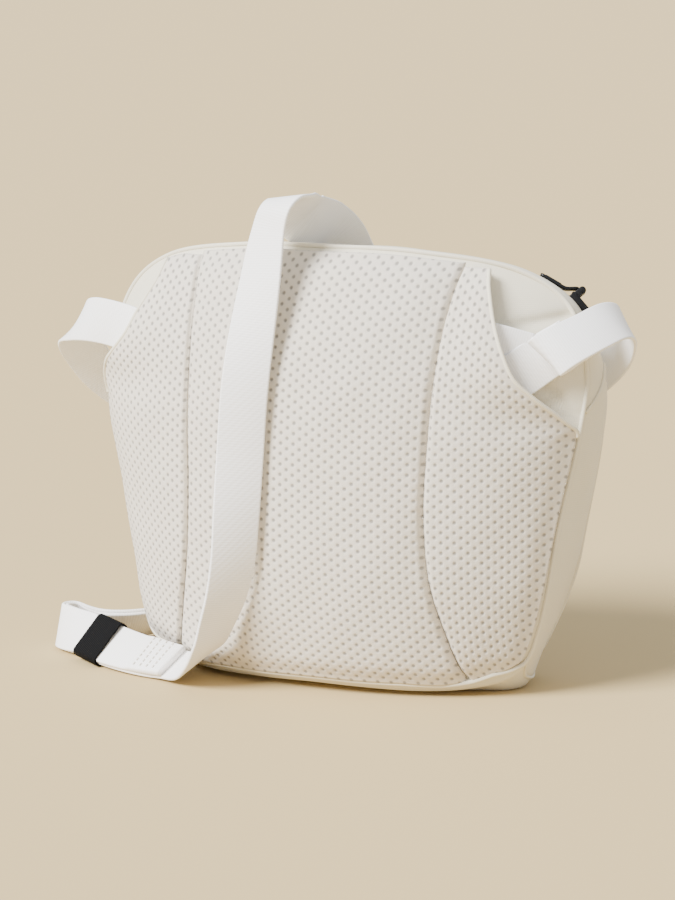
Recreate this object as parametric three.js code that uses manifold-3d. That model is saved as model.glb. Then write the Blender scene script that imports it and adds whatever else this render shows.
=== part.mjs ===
// Hip pack: an ivory nylon bag with a padded mesh back, a curved zip over its top and a looped
// webbing hip strap. Millimetres, +Z up. The bag stands on its base, with the middle of the base at
// the origin and the padded back facing -Y.
import * as THREE from "three";
import { mergeVertices } from "three/addons/utils/BufferGeometryUtils.js";
import Module from "manifold-3d";

const wasm = await Module();
wasm.setup();

// Sewn cloth: wall thickness and the clearance between neighbouring pieces.
const WALL = 1.3;
const GAP = 0.3;

// Bag body: outline of the back seam (right half, from the base up), and how the panels bow.
const OUTLINE = [
  { x: 0, z: 3 },
  { x: 67, z: 3 },
  { x: 88, z: 10 },
  { x: 97, z: 30 },
  { x: 103.5, z: 75 },
  { x: 110, z: 116 },
  { x: 111, z: 140 },
  { x: 102, z: 167 },
  { x: 82, z: 181.3 },
  { x: 40, z: 189 },
  { x: 0, z: 190 },
];
const HALF_WIDTH = 112;
const HALF_HEIGHT = 96;
const BACK = { crown: -51, sideSet: 44, endSet: 27, lean: 0.04 };
const FRONT = { crown: 42, sideSet: 9, endSet: 12, widthShare: 0.97, heightShare: 0.92 };
const GUSSET = { bulge: 5, topBulge: 3.2, seamGap: 1.4 };
const CORNER_SEAM_Z = 13;
const SIDE_SEAM_Z = { back: 118, front: 136 };
const ZIP_END_Z = 158;

// Back padding: the curved seams beside the middle panel and the free upper edge of each wing.
const PAD = {
  thick: 5.5, edge: 1.8, freeEdge: 5, roll: 13, bottom: 4.6, top: 184, wingInset: 1.1, seat: 0.5,
};
const PAD_SEAM = [
  { z: 0, x: 70 },
  { z: 28, x: 62 },
  { z: 52, x: 56.5 },
  { z: 78, x: 54.5 },
  { z: 116, x: 55.5 },
  { z: 160, x: 58 },
  { z: 192, x: 62 },
];
const WING_EDGE = [
  { z: 117, x: 108.5, lift: 0.5 },
  { z: 126, x: 102, lift: 10 },
  { z: 134, x: 97, lift: 15.5 },
  { z: 142, x: 92, lift: 16.5 },
  { z: 152, x: 86, lift: 14.5 },
  { z: 164, x: 80.5, lift: 9.5 },
  { z: 185, x: 75.5, lift: 2.5 },
];
const WING_FADE = 16;

// Zip over the top: share of the gusset's depth that the tape and the coil take.
const ZIP = { tape: 0.1, coil: 0.045, coilHeight: 1.7 };
const SLIDER = {
  z: 169, length: 12, width: 9, plate: 1.4, earWall: 0.9, earRadius: 2.1, earSink: 0.1, pinRadius: 0.8,
};
const PULL = { length: 19, width: 5, thick: 1.5, eyeRadius: 2, boreRadius: 1.15, droop: 25 };

// Hip strap: webbing, elastic keeper and clasp.
const WEBBING = { width: 20, thick: 1.6, steps: 4 };
const TAIL = { firstRow: 27, hemRows: 1.5 };
const KEEPER = { length: 20, wall: 1.2, row: 29.08 };
const CLASP = { length: 44, width: 30, thick: 9, corner: 5 };

// Colours and finish of the materials.
const IVORY_NYLON = { color: 0xe6e0d2, roughness: 0.75, metalness: 0 };
const SPACER_MESH = { color: 0xd9d3c8, roughness: 0.85, metalness: 0 };
const WHITE_WEBBING = { color: 0xf1eeea, roughness: 0.7, metalness: 0 };
const BLACK_ELASTIC = { color: 0x1b1b1c, roughness: 0.8, metalness: 0 };
const BLACK_PLASTIC = { color: 0x17181a, roughness: 0.45, metalness: 0 };

const { lerp, clamp, smoothstep } = THREE.MathUtils;
const bag = new THREE.Group();

function addMesh(name, geometry, finish, parent = bag) {
  const mesh = new THREE.Mesh(geometry, new THREE.MeshStandardMaterial(finish));
  mesh.name = name;
  parent.add(mesh);
  return mesh;
}

// A closed geometry from points and triangles, with its faces turned outwards.
function closedBody(points, triangles) {
  const inside = new THREE.Vector3();
  let volume = 0;
  for (let i = 0; i < triangles.length; i += 3) {
    const [a, b, c] = triangles.slice(i, i + 3).map((index) => points[index]);
    volume += inside.crossVectors(b, c).dot(a);
  }
  const faces = volume < 0 ? triangles.toReversed() : triangles;
  const geometry = new THREE.BufferGeometry().setFromPoints(points);
  geometry.setIndex(faces);
  return mergeVertices(geometry, 1e-4);
}

// A cloth wall between two grids of points of the same size, closed along its four edges.
function wallBetween(outer, inner) {
  const rows = outer.length;
  const columns = outer[0].length;
  const back = rows * columns;
  const at = (row, column) => row * columns + column;
  const triangles = [];
  const quad = (a, b, c, d) => triangles.push(a, b, c, a, c, d);
  for (let row = 0; row < rows - 1; row += 1) {
    for (let column = 0; column < columns - 1; column += 1) {
      const [a, b] = [at(row, column), at(row, column + 1)];
      const [d, c] = [at(row + 1, column), at(row + 1, column + 1)];
      quad(a, b, c, d);
      quad(back + a, back + d, back + c, back + b);
    }
  }
  const rim = [];
  for (let column = 0; column < columns; column += 1) rim.push(at(0, column));
  for (let row = 1; row < rows; row += 1) rim.push(at(row, columns - 1));
  for (let column = columns - 2; column >= 0; column -= 1) rim.push(at(rows - 1, column));
  for (let row = rows - 2; row > 0; row -= 1) rim.push(at(row, 0));
  rim.forEach((a, index) => {
    const b = rim[(index + 1) % rim.length];
    quad(b, a, back + a, back + b);
  });
  return closedBody([...outer.flat(), ...inner.flat()], triangles);
}

// A grid of points from a surface of two parameters, each running from 0 to 1.
function gridOf(rows, columns, surface) {
  const steps = (count) => Array.from({ length: count + 1 }, (_, index) => index / count);
  return steps(rows).map((b) => steps(columns).map((a) => surface(a, b)));
}

// Smooth curve through the rows of a table: the value of one column at a height z.
function tableAt(table, z, column = "x") {
  const last = table.length - 1;
  const above = table.findIndex((row) => row.z > z);
  const next = above < 0 ? last : Math.max(above, 1);
  const [p0, p1] = [table[Math.max(next - 2, 0)], table[next - 1]];
  const [p2, p3] = [table[next], table[Math.min(next + 1, last)]];
  const span = p2.z - p1.z;
  const slope1 = ((p2[column] - p0[column]) / (p2.z - p0.z)) * span;
  const slope2 = ((p3[column] - p1[column]) / (p3.z - p1.z)) * span;
  const t = clamp((z - p1.z) / span, 0, 1);
  const t2 = t * t;
  const t3 = t2 * t;
  const ends = (2 * t3 - 3 * t2 + 1) * p1[column] + (3 * t2 - 2 * t3) * p2[column];
  return ends + (t3 - 2 * t2 + t) * slope1 + (t3 - t2) * slope2;
}

// Bag outline as one closed curve in the XZ plane, from the middle of the base round to the right.
const rightHalf = OUTLINE.map((p) => new THREE.Vector3(p.x, 0, p.z));
const leftHalf = OUTLINE.slice(1, -1).reverse().map((p) => new THREE.Vector3(-p.x, 0, p.z));
const outline = new THREE.CatmullRomCurve3([...rightHalf, ...leftHalf], true);
outline.arcLengthDivisions = 1200;
const RIM_SAMPLES = 600;
const rimSamples = Array.from({ length: RIM_SAMPLES + 1 }, (_, i) => {
  const place = (0.5 * i) / RIM_SAMPLES;
  return { place, point: outline.getPointAt(place) };
});
const widest = rimSamples.reduce((best, s) => (s.point.x > best.point.x ? s : best));

const LOWEST_RIM_PLACE = 0.05;

function rimPlaceAtHeight(z) {
  return rimSamples.find((s) => s.place > LOWEST_RIM_PLACE && s.point.z >= z).place;
}

function rimHeight(x, upper) {
  const across = Math.min(Math.abs(x), widest.point.x - 0.01);
  const inBranch = (s) => (upper ? s.place >= widest.place : s.place <= widest.place);
  const branch = rimSamples.filter(inBranch).map((s) => s.point);
  const index = branch.findIndex((p, i) => i > 0 && (p.x - across) * (branch[i - 1].x - across) <= 0);
  const [a, b] = [branch[index - 1], branch[index]];
  return lerp(a.z, b.z, (across - a.x) / (b.x - a.x || 1));
}

// Bowed back and front of the bag as depths over the XZ plane.
function bow(x, z, sideSet, endSet) {
  const side = sideSet * Math.abs(x / HALF_WIDTH) ** 2.2;
  return side + endSet * Math.abs((z - HALF_HEIGHT) / HALF_HEIGHT) ** 2.6;
}
const backDepth = (x, z) => BACK.crown + bow(x, z, BACK.sideSet, BACK.endSet) + BACK.lean * z;
const frontDepth = (x, z) => FRONT.crown - bow(x, z, FRONT.sideSet, FRONT.endSet);

// Points over the whole outline, closer together towards the sides.
function outlinePoint(a, b, depth) {
  const x = 0.9995 * widest.point.x * Math.sin((a - 0.5) * Math.PI);
  const z = lerp(rimHeight(x, false), rimHeight(x, true), b);
  return depth(x, z);
}

function shrunk(x, z) {
  return [x * FRONT.widthShare, lerp(OUTLINE[0].z, z, FRONT.heightShare)];
}

function addPanels() {
  const backOuter = (x, z) => new THREE.Vector3(x, backDepth(x, z), z);
  const backInner = (x, z) => new THREE.Vector3(x, backDepth(x, z) + WALL, z);
  const panel = (rows, columns, layer) => gridOf(rows, columns, (a, b) => outlinePoint(a, b, layer));
  const back = [backOuter, backInner].map((layer) => panel(9, 32, layer));
  addMesh("back_wall", wallBetween(...back), IVORY_NYLON);
  const frontLayer = (inset) => (x, z) => {
    const [sx, sz] = shrunk(x, z);
    return new THREE.Vector3(sx, frontDepth(sx, sz) - inset, sz);
  };
  const front = [0, WALL].map((inset) => panel(12, 26, frontLayer(inset)));
  addMesh("front_panel", wallBetween(...front), IVORY_NYLON);
}

// Gusset round the bag from the back seam (t = 0) to the front seam (t = 1), flat under the base.
function gussetPoint(place, t) {
  const rim = outline.getPointAt(((place % 1) + 1) % 1);
  const along = outline.getTangentAt(((place % 1) + 1) % 1);
  const [fx, fz] = shrunk(rim.x, rim.z);
  const from = new THREE.Vector3(rim.x, backDepth(rim.x, rim.z) + WALL + GUSSET.seamGap, rim.z);
  const to = new THREE.Vector3(fx, frontDepth(fx, fz) - WALL - GUSSET.seamGap, fz);
  const upper = smoothstep(rim.z, SIDE_SEAM_Z.back, OUTLINE.at(-2).z);
  const fullness = lerp(GUSSET.bulge, GUSSET.topBulge, upper);
  const bulge = fullness * Math.sin(Math.PI * clamp(t, 0, 1)) ** 0.6;
  const point = from.lerp(to, t).add(new THREE.Vector3(along.z, 0, -along.x).multiplyScalar(bulge));
  point.z = Math.max(point.z, 0);
  return point;
}

// Outward direction of the gusset, from its neighbouring points.
function gussetNormal(place, t) {
  const step = 0.004;
  const early = Math.max(t - 0.05, 0);
  const late = Math.min(t + 0.05, 1);
  const round = gussetPoint(place + step, t).sub(gussetPoint(place - step, t));
  const across = gussetPoint(place, late).sub(gussetPoint(place, early));
  return across.cross(round).normalize();
}

// A strip of gusset between two edges, each given as a place along the rim for every depth share.
function gussetStrip({ start, end, depths = [0, 1], columns, rows, lifts = [0, -WALL] }) {
  const layer = (lift) => (a, b) => {
    const t = lerp(depths[0], depths[1], b);
    const place = lerp(start(t), end(t), a);
    const point = gussetPoint(place, t).addScaledVector(gussetNormal(place, t), lift);
    point.z = Math.max(point.z, 0);
    return point;
  };
  return wallBetween(...lifts.map((lift) => gridOf(rows, columns, layer(lift))));
}

const rimLength = outline.getLength();
const halfGap = GAP / 2 / rimLength;
const cornerPlace = rimPlaceAtHeight(CORNER_SEAM_Z);
const sideBack = rimPlaceAtHeight(SIDE_SEAM_Z.back);
const sideFront = rimPlaceAtHeight(SIDE_SEAM_Z.front);
const sideSeam = (t) => lerp(sideBack, sideFront, t * t);

const zipEnd = rimPlaceAtHeight(ZIP_END_Z);

function addGussets() {
  const corner = { below: () => cornerPlace - halfGap, above: () => cornerPlace + halfGap };
  const side = { below: (t) => sideSeam(t) - halfGap, above: (t) => sideSeam(t) + halfGap };
  const mirrored = (edge) => (t) => -edge(t);
  const strips = [
    { name: "bottom_gusset", start: mirrored(corner.below), end: corner.below, columns: 22 },
    { name: "side_gusset_right", start: corner.above, end: side.below, columns: 9 },
    { name: "side_gusset_left", start: mirrored(side.below), end: mirrored(corner.above), columns: 9 },
    { name: "side_top_right", start: side.above, end: () => zipEnd - halfGap, columns: 4 },
    { name: "side_top_left", start: () => halfGap - zipEnd, end: mirrored(side.above), columns: 4 },
  ];
  for (const { name, ...edges } of strips) {
    addMesh(name, gussetStrip({ ...edges, rows: 8 }), IVORY_NYLON);
  }
}

// Zip along the top: a band of nylon on both sides of the tape, and the coil on the tape.
function addZip() {
  const depthGap = GAP / 2 / gussetPoint(0.5, 0).distanceTo(gussetPoint(0.5, 1));
  const run = { start: () => zipEnd + halfGap, end: () => 1 - zipEnd - halfGap, columns: 22 };
  const bands = [
    { name: "top_band_rear", depths: [0, 0.5 - ZIP.tape - depthGap], rows: 3 },
    { name: "zip_tape", depths: [0.5 - ZIP.tape + depthGap, 0.5 + ZIP.tape - depthGap], rows: 2 },
    { name: "top_band_front", depths: [0.5 + ZIP.tape + depthGap, 1], rows: 3 },
  ];
  for (const { name, ...band } of bands) {
    addMesh(name, gussetStrip({ ...run, ...band }), IVORY_NYLON);
  }
  const coilDepths = [0.5 - ZIP.coil, 0.5 + ZIP.coil];
  const lifts = [GAP + ZIP.coilHeight, GAP];
  addMesh("zip_coil", gussetStrip({ ...run, depths: coilDepths, rows: 1, lifts }), BLACK_PLASTIC);
}

// Foam padding under mesh: full in the middle, pressed thin along its seams.
function padThickness(distance) {
  return lerp(PAD.edge, PAD.thick, Math.sqrt(smoothstep(distance, 0, PAD.roll)));
}

function addCentrePad() {
  const surface = (layer) => (a, b) => {
    const seam = tableAt(PAD_SEAM, lerp(PAD.bottom, PAD.top, b)) - GAP / 2;
    const x = lerp(-seam, seam, a);
    const [low, high] = [rimHeight(x, false), rimHeight(x, true)];
    const z = lerp(low, high, b);
    const edge = Math.min(seam - Math.abs(x), z - low, high - z);
    return new THREE.Vector3(x, backDepth(x, z) - PAD.seat - layer * padThickness(edge), z);
  };
  addMesh("pad_centre", wallBetween(...[1, 0].map((layer) => gridOf(14, 14, surface(layer)))), SPACER_MESH);
}

// A wing is sewn down along its inner seam and the lower rim, and stands off along its upper edge.
function addWing(name, sign) {
  const mouth = WING_EDGE[0].z;
  const surface = (layer) => (a, b) => {
    const z = lerp(PAD.bottom + PAD.wingInset, PAD.top - PAD.wingInset, b);
    const seam = tableAt(PAD_SEAM, z) + GAP / 2;
    const rim = rimSamples.find((s) => s.place > LOWEST_RIM_PLACE && s.point.z >= z).point.x;
    const free = z > mouth;
    const outer = free ? Math.min(tableAt(WING_EDGE, z), rim) : rim;
    const x = lerp(seam, outer, a);
    const fade = smoothstep(z, mouth - WING_FADE, mouth);
    const lift = fade * tableAt(WING_EDGE, Math.max(z, mouth), "lift");
    const stand = lift * smoothstep(a, 0, 1.1);
    const outerEdge = outer - x + (free ? PAD.freeEdge : 0);
    const edge = Math.min(x - seam, z - PAD.bottom, outerEdge);
    const depth = backDepth(x, z) - PAD.seat - stand - layer * padThickness(edge);
    return new THREE.Vector3(sign * x, depth, z);
  };
  addMesh(name, wallBetween(...[1, 0].map((layer) => gridOf(16, 8, surface(layer)))), SPACER_MESH);
}

// Joins closed geometries into one solid.
function joined(...geometries) {
  const solids = geometries.map((geometry) => {
    const bare = new THREE.BufferGeometry();
    bare.setAttribute("position", geometry.getAttribute("position"));
    bare.setIndex(geometry.getIndex());
    const merged = mergeVertices(bare, 1e-4);
    const vertProperties = new Float32Array(merged.getAttribute("position").array);
    const triVerts = new Uint32Array(merged.getIndex().array);
    return new wasm.Manifold(new wasm.Mesh({ numProp: 3, vertProperties, triVerts }));
  });
  const mesh = solids.reduce((whole, solid) => whole.add(solid)).getMesh();
  const geometry = new THREE.BufferGeometry();
  geometry.setAttribute("position", new THREE.BufferAttribute(new Float32Array(mesh.vertProperties), 3));
  geometry.setIndex(new THREE.BufferAttribute(new Uint32Array(mesh.triVerts), 1));
  return geometry;
}

// A flat outline in the local XZ plane, extruded along local Y about its middle.
function extrudedAcross(shape, width, curveSegments = 6) {
  const geometry = new THREE.ExtrudeGeometry(shape, { depth: width, bevelEnabled: false, curveSegments });
  return geometry.translate(0, 0, -width / 2).rotateX(Math.PI / 2);
}

// Slider astride the coil on the right shoulder, with two ears and a pin that the pull turns on.
// Its local X runs up along the zip, Y across it and Z away from the bag.
function addSlider() {
  const depth = 0.5;
  const place = rimPlaceAtHeight(SLIDER.z);
  const normal = gussetNormal(place, depth);
  const along = gussetPoint(place + 0.004, depth).sub(gussetPoint(place - 0.004, depth)).normalize();
  const across = normal.clone().cross(along);
  const mount = new THREE.Group();
  mount.position.copy(gussetPoint(place, depth));
  mount.quaternion.setFromRotationMatrix(new THREE.Matrix4().makeBasis(along, across, normal));
  bag.add(mount);

  const coilHalf = ZIP.coil * gussetPoint(place, 0).distanceTo(gussetPoint(place, 1));
  const inside = coilHalf + 2 * GAP;
  const roof = ZIP.coilHeight + 3 * GAP;
  const half = SLIDER.width / 2;
  const top = roof + SLIDER.plate;
  const feet = 2 * GAP;
  const rightHalfOfChannel = [[inside, roof], [inside, feet], [half, feet], [half, top]];
  const leftHalfOfChannel = rightHalfOfChannel.toReversed().map(([y, z]) => [-y, z]);
  const corners = [...rightHalfOfChannel, ...leftHalfOfChannel];
  const channel = new THREE.Shape(corners.map(([y, z]) => new THREE.Vector2(y, z)));
  const body = new THREE.ExtrudeGeometry(channel, { depth: SLIDER.length, bevelEnabled: false });
  body.translate(0, 0, -SLIDER.length / 2);
  body.applyMatrix4(new THREE.Matrix4().set(0, 0, 1, 0, 1, 0, 0, 0, 0, 1, 0, 0, 0, 0, 0, 1));

  const pinX = SLIDER.length / 2 - SLIDER.earRadius;
  const pinZ = top + SLIDER.earRadius - SLIDER.earSink;
  const disc = (radius) => new THREE.Shape().absarc(0, 0, radius, 0, 2 * Math.PI);
  const earShift = PULL.width / 2 + GAP + SLIDER.earWall / 2;
  const ears = [-1, 1].map((side) => {
    const ear = extrudedAcross(disc(SLIDER.earRadius), SLIDER.earWall);
    return ear.translate(pinX, side * earShift, pinZ);
  });
  const pinLength = 2 * earShift + SLIDER.earWall / 2;
  const pin = extrudedAcross(disc(SLIDER.pinRadius), pinLength).translate(pinX, 0, pinZ);
  addMesh("zip_slider", joined(body, ...ears, pin), BLACK_PLASTIC, mount);

  const reach = Math.sqrt(PULL.eyeRadius ** 2 - (PULL.thick / 2) ** 2);
  const opening = Math.atan2(PULL.thick / 2, reach);
  const tab = new THREE.Shape();
  tab.moveTo(PULL.length, -PULL.thick / 2);
  tab.lineTo(PULL.length, PULL.thick / 2);
  tab.lineTo(reach, PULL.thick / 2);
  tab.absarc(0, 0, PULL.eyeRadius, opening, 2 * Math.PI - opening);
  tab.closePath();
  tab.holes.push(new THREE.Path().absarc(0, 0, PULL.boreRadius, 0, 2 * Math.PI));
  const pull = addMesh("zip_pull", extrudedAcross(tab, PULL.width), BLACK_PLASTIC, mount);
  pull.position.set(pinX, 0, pinZ);
  pull.rotation.y = THREE.MathUtils.degToRad(PULL.droop);
}

// Webbing: points along the middle of the strap, with the direction across it.
const LEFT_ROUTE = [
  { x: -80, y: -25, z: 146, ax: 0.35, ay: 0.2, az: 0.92 },
  { x: -98, y: -16.5, z: 149.5, ax: 0.45, ay: 0.05, az: 0.88 },
  { x: -115, y: -10, z: 150, ax: 0.5, ay: 0.0, az: 0.86 },
  { x: -129, y: 3, z: 147, ax: 0.6, ay: -0.15, az: 0.77 },
  { x: -135, y: 18, z: 136, ax: 0.6, ay: -0.3, az: 0.74 },
  { x: -132, y: 34, z: 121, ax: 0.45, ay: -0.3, az: 0.84 },
  { x: -121, y: 48, z: 108, ax: 0.5, ay: -0.1, az: 0.85 },
  { x: -106, y: 56, z: 101, ax: 0.62, ay: 0.2, az: 0.75 },
  { x: -92, y: 61, z: 94, ax: 0.45, ay: 0.6, az: 0.6 },
  { x: -80, y: 63, z: 84.5, ax: 0.2, ay: 0.95, az: 0.3 },
  { x: -69.8, y: 63, z: 74.4, ax: 0, ay: 1, az: 0 },
];
const RIGHT_ROUTE = [
  { x: 84, y: -24.8, z: 138.5, ax: -0.55, ay: 0, az: 0.83 },
  { x: 92, y: -22.6, z: 143, ax: -0.65, ay: -0.05, az: 0.75 },
  { x: 106, y: -22, z: 152, ax: -0.75, ay: 0.1, az: 0.64 },
  { x: 117, y: -11, z: 158.5, ax: -0.75, ay: 0.2, az: 0.62 },
  { x: 122.5, y: 4, z: 160, ax: -0.7, ay: 0.3, az: 0.66 },
  { x: 123.5, y: 20, z: 154, ax: -0.55, ay: 0.35, az: 0.76 },
  { x: 119, y: 36, z: 143, ax: -0.4, ay: 0.2, az: 0.9 },
  { x: 106, y: 48, z: 130, ax: -0.3, ay: 0.1, az: 0.95 },
  { x: 87, y: 55, z: 118, ax: -0.2, ay: 0, az: 0.97 },
  { x: 64, y: 59, z: 111, ax: 0, ay: 0, az: 1 },
  { x: 40, y: 58, z: 117, ax: 0.35, ay: 0, az: 0.93 },
  { x: 19, y: 53, z: 136, ax: 0.6, ay: 0, az: 0.8 },
  { x: 2, y: 46.5, z: 160, ax: 0.75, ay: 0, az: 0.66 },
  { x: -10.3, y: 40, z: 179, ax: 0.79, ay: 0, az: 0.61 },
  { x: -10.7, y: 26, z: 189, ax: 0.75, ay: 0, az: 0.66 },
  { x: -9.1, y: 8, z: 198.2, ax: 0.48, ay: 0, az: 0.88 },
  { x: -10.7, y: -8.1, z: 202.6, ax: 0.47, ay: -0.18, az: 0.86 },
  { x: -14.8, y: -27.5, z: 208, ax: 0.98, ay: 0.05, az: 0.18 },
  { x: -15, y: -41, z: 199.5, ax: 0.97, ay: 0.18, az: 0.08 },
  { x: -17.5, y: -53, z: 170, ax: 0.95, ay: 0.25, az: 0.05 },
  { x: -19.3, y: -59, z: 137, ax: 0.93, ay: 0.35, az: 0 },
  { x: -20.7, y: -60.5, z: 103, ax: 0.92, ay: 0.38, az: 0 },
  { x: -23.9, y: -59.5, z: 68, ax: 0.93, ay: 0.36, az: 0 },
  { x: -29.7, y: -55.5, z: 41, ax: 0.95, ay: 0.3, az: 0.15 },
  { x: -36.5, y: -52, z: 22, ax: 0.93, ay: 0.3, az: 0.3 },
  { x: -46, y: -48, z: 10.5, ax: 0.8, ay: 0.3, az: 0.55 },
  { x: -57, y: -40, z: 9, ax: 0.5, ay: 0.38, az: 0.76 },
  { x: -70, y: -36, z: 8.6, ax: 0.33, ay: 0.56, az: 0.74 },
  { x: -90, y: -28.5, z: 10, ax: 0.3, ay: 0.6, az: 0.74 },
  { x: -107, y: -20.5, z: 11.1, ax: 0.3, ay: 0.6, az: 0.74 },
  { x: -122, y: -11, z: 10.4, ax: 0.3, ay: 0.5, az: 0.8 },
  { x: -129, y: 2, z: 10.4, ax: 0.25, ay: 0.2, az: 0.93 },
  { x: -127, y: 17, z: 11, ax: 0.05, ay: 0.1, az: 1 },
  { x: -118, y: 32, z: 11.2, ax: 0, ay: 0, az: 1 },
  { x: -106, y: 45, z: 11.4, ax: -0.05, ay: 0.12, az: 1 },
  { x: -90, y: 55, z: 11, ax: -0.15, ay: 0.5, az: 0.87 },
  { x: -72, y: 61, z: 8.6, ax: -0.1, ay: 0.87, az: 0.5 },
  { x: -54, y: 63, z: 5.4, ax: 0, ay: 1, az: 0.15 },
  { x: -38, y: 63, z: 6, ax: 0, ay: 1, az: 0 },
  { x: -27.5, y: 63, z: 12.5, ax: 0, ay: 1, az: 0 },
  { x: -24, y: 63, z: 23, ax: 0, ay: 1, az: 0 },
  { x: -28.5, y: 63, z: 33, ax: 0, ay: 1, az: 0 },
  { x: -38, y: 63, z: 42.5, ax: 0, ay: 1, az: 0 },
];
const TAIL_END = { x: -60, y: -41, z: 8.6, ax: 0.33, ay: 0.58, az: 0.74 };
const ANCHOR_ROUTE = [
  { x: 70, y: -25, z: 150, ax: 0.1, ay: 0.3, az: 0.95 },
  { x: 82, y: -18.8, z: 149, ax: 0.1, ay: 0.28, az: 0.95 },
  { x: 95, y: -11.2, z: 147.5, ax: 0.1, ay: 0.26, az: 0.96 },
];

function spineOf(route) {
  const spine = new THREE.CatmullRomCurve3(route.map((r) => new THREE.Vector3(r.x, r.y, r.z)));
  const lean = new THREE.CatmullRomCurve3(route.map((r) => new THREE.Vector3(r.ax, r.ay, r.az)));
  return (t) => {
    const along = spine.getTangent(t);
    const across = lean.getPoint(t);
    across.addScaledVector(along, -across.dot(along)).normalize();
    return { point: spine.getPoint(t), along, across, face: along.clone().cross(across) };
  };
}

// A flat strap along a route. The lift moves it off the route along its face, for a second layer.
function strap(route, liftAt = () => 0, thickAt = () => WEBBING.thick) {
  const frameAt = spineOf(route);
  const columns = (route.length - 1) * WEBBING.steps;
  const layer = (side) => (a, b) => {
    const { point, across, face } = frameAt(a);
    const half = side * 0.5 * thickAt(a);
    return point.addScaledVector(across, (b - 0.5) * WEBBING.width).addScaledVector(face, liftAt(a) + half);
  };
  return wallBetween(...[1, -1].map((side) => gridOf(1, columns, layer(side))));
}

// The loose tail lies on the outside of the strap, from its sewn end back to the clasp.
// The sewn end is folded double.
function addTail() {
  const route = [TAIL_END, ...RIGHT_ROUTE.slice(TAIL.firstRow)];
  const hemShare = TAIL.hemRows / (route.length - 1);
  const folded = 2 * WEBBING.thick + GAP;
  const thickAt = (t) => lerp(folded, WEBBING.thick, smoothstep(t, hemShare, 1.2 * hemShare));
  const liftAt = (t) => -(WEBBING.thick / 2 + GAP + thickAt(t) / 2);
  addMesh("strap_tail", strap(route, liftAt, thickAt), WHITE_WEBBING);
}

// A rectangle in the plane across a strap, as an outline or a hole.
function rectangle(kind, width, height, shift) {
  const [x, y] = [width / 2, height / 2];
  const corners = [[-x, -y], [x, -y], [x, y], [-x, y]];
  return new kind(corners.map(([a, b]) => new THREE.Vector2(a, b + shift)));
}

// Elastic band round the strap and the tail, in the local axes of the strap: X across, Y off its face.
function addKeeper() {
  const { point, along, across, face } = spineOf(RIGHT_ROUTE)(KEEPER.row / (RIGHT_ROUTE.length - 1));
  const layers = 2 * WEBBING.thick + GAP;
  const inner = [WEBBING.width + 5 * GAP, layers + 6 * GAP];
  const shift = -(WEBBING.thick + GAP) / 2;
  const band = rectangle(THREE.Shape, inner[0] + 2 * KEEPER.wall, inner[1] + 2 * KEEPER.wall, shift);
  band.holes.push(rectangle(THREE.Path, inner[0], inner[1], shift));
  const geometry = new THREE.ExtrudeGeometry(band, { depth: KEEPER.length, bevelEnabled: false });
  geometry.translate(0, 0, -KEEPER.length / 2);
  const keeper = addMesh("strap_keeper", geometry, BLACK_ELASTIC);
  keeper.position.copy(point);
  keeper.quaternion.setFromRotationMatrix(new THREE.Matrix4().makeBasis(across, face, along));
}

// Fastened clasp between the ends of the two straps, lying in line with them behind the bag.
function addClasp() {
  const { point, along, across } = spineOf(RIGHT_ROUTE)(1);
  const [x, y, r] = [CLASP.width / 2, CLASP.length / 2, CLASP.corner];
  const plate = new THREE.Shape();
  plate.absarc(x - r, y - r, r, 0, Math.PI / 2);
  plate.absarc(r - x, y - r, r, Math.PI / 2, Math.PI);
  plate.absarc(r - x, r - y, r, Math.PI, 1.5 * Math.PI);
  plate.absarc(x - r, r - y, r, 1.5 * Math.PI, 2 * Math.PI);
  const depth = CLASP.thick;
  const geometry = new THREE.ExtrudeGeometry(plate, { depth, bevelEnabled: false, curveSegments: 5 });
  geometry.translate(0, 0, -depth / 2);
  const clasp = addMesh("clasp", geometry, BLACK_PLASTIC);
  clasp.position.copy(point).addScaledVector(along, GAP + y);
  const out = across.clone().cross(along);
  clasp.quaternion.setFromRotationMatrix(new THREE.Matrix4().makeBasis(across, along, out));
}

function addStrap() {
  addMesh("strap_left", strap(LEFT_ROUTE), WHITE_WEBBING);
  addMesh("strap_right", strap(RIGHT_ROUTE), WHITE_WEBBING);
  const mirrored = ANCHOR_ROUTE.map((r) => ({ ...r, x: -r.x, ax: -r.ax }));
  addMesh("anchor_tab_right", strap(ANCHOR_ROUTE), WHITE_WEBBING);
  addMesh("anchor_tab_left", strap(mirrored), WHITE_WEBBING);
}

addPanels();
addGussets();
addZip();
addCentrePad();
addWing("pad_wing_left", -1);
addWing("pad_wing_right", 1);
addSlider();
addStrap();
addTail();
addKeeper();
addClasp();

export default bag;
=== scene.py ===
"""Hip pack: ivory nylon bag with a padded mesh back, a curved top zip and a white webbing hip strap."""

import math

import bmesh
import bpy
import numpy as np
from mathutils import Matrix, Vector


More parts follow.
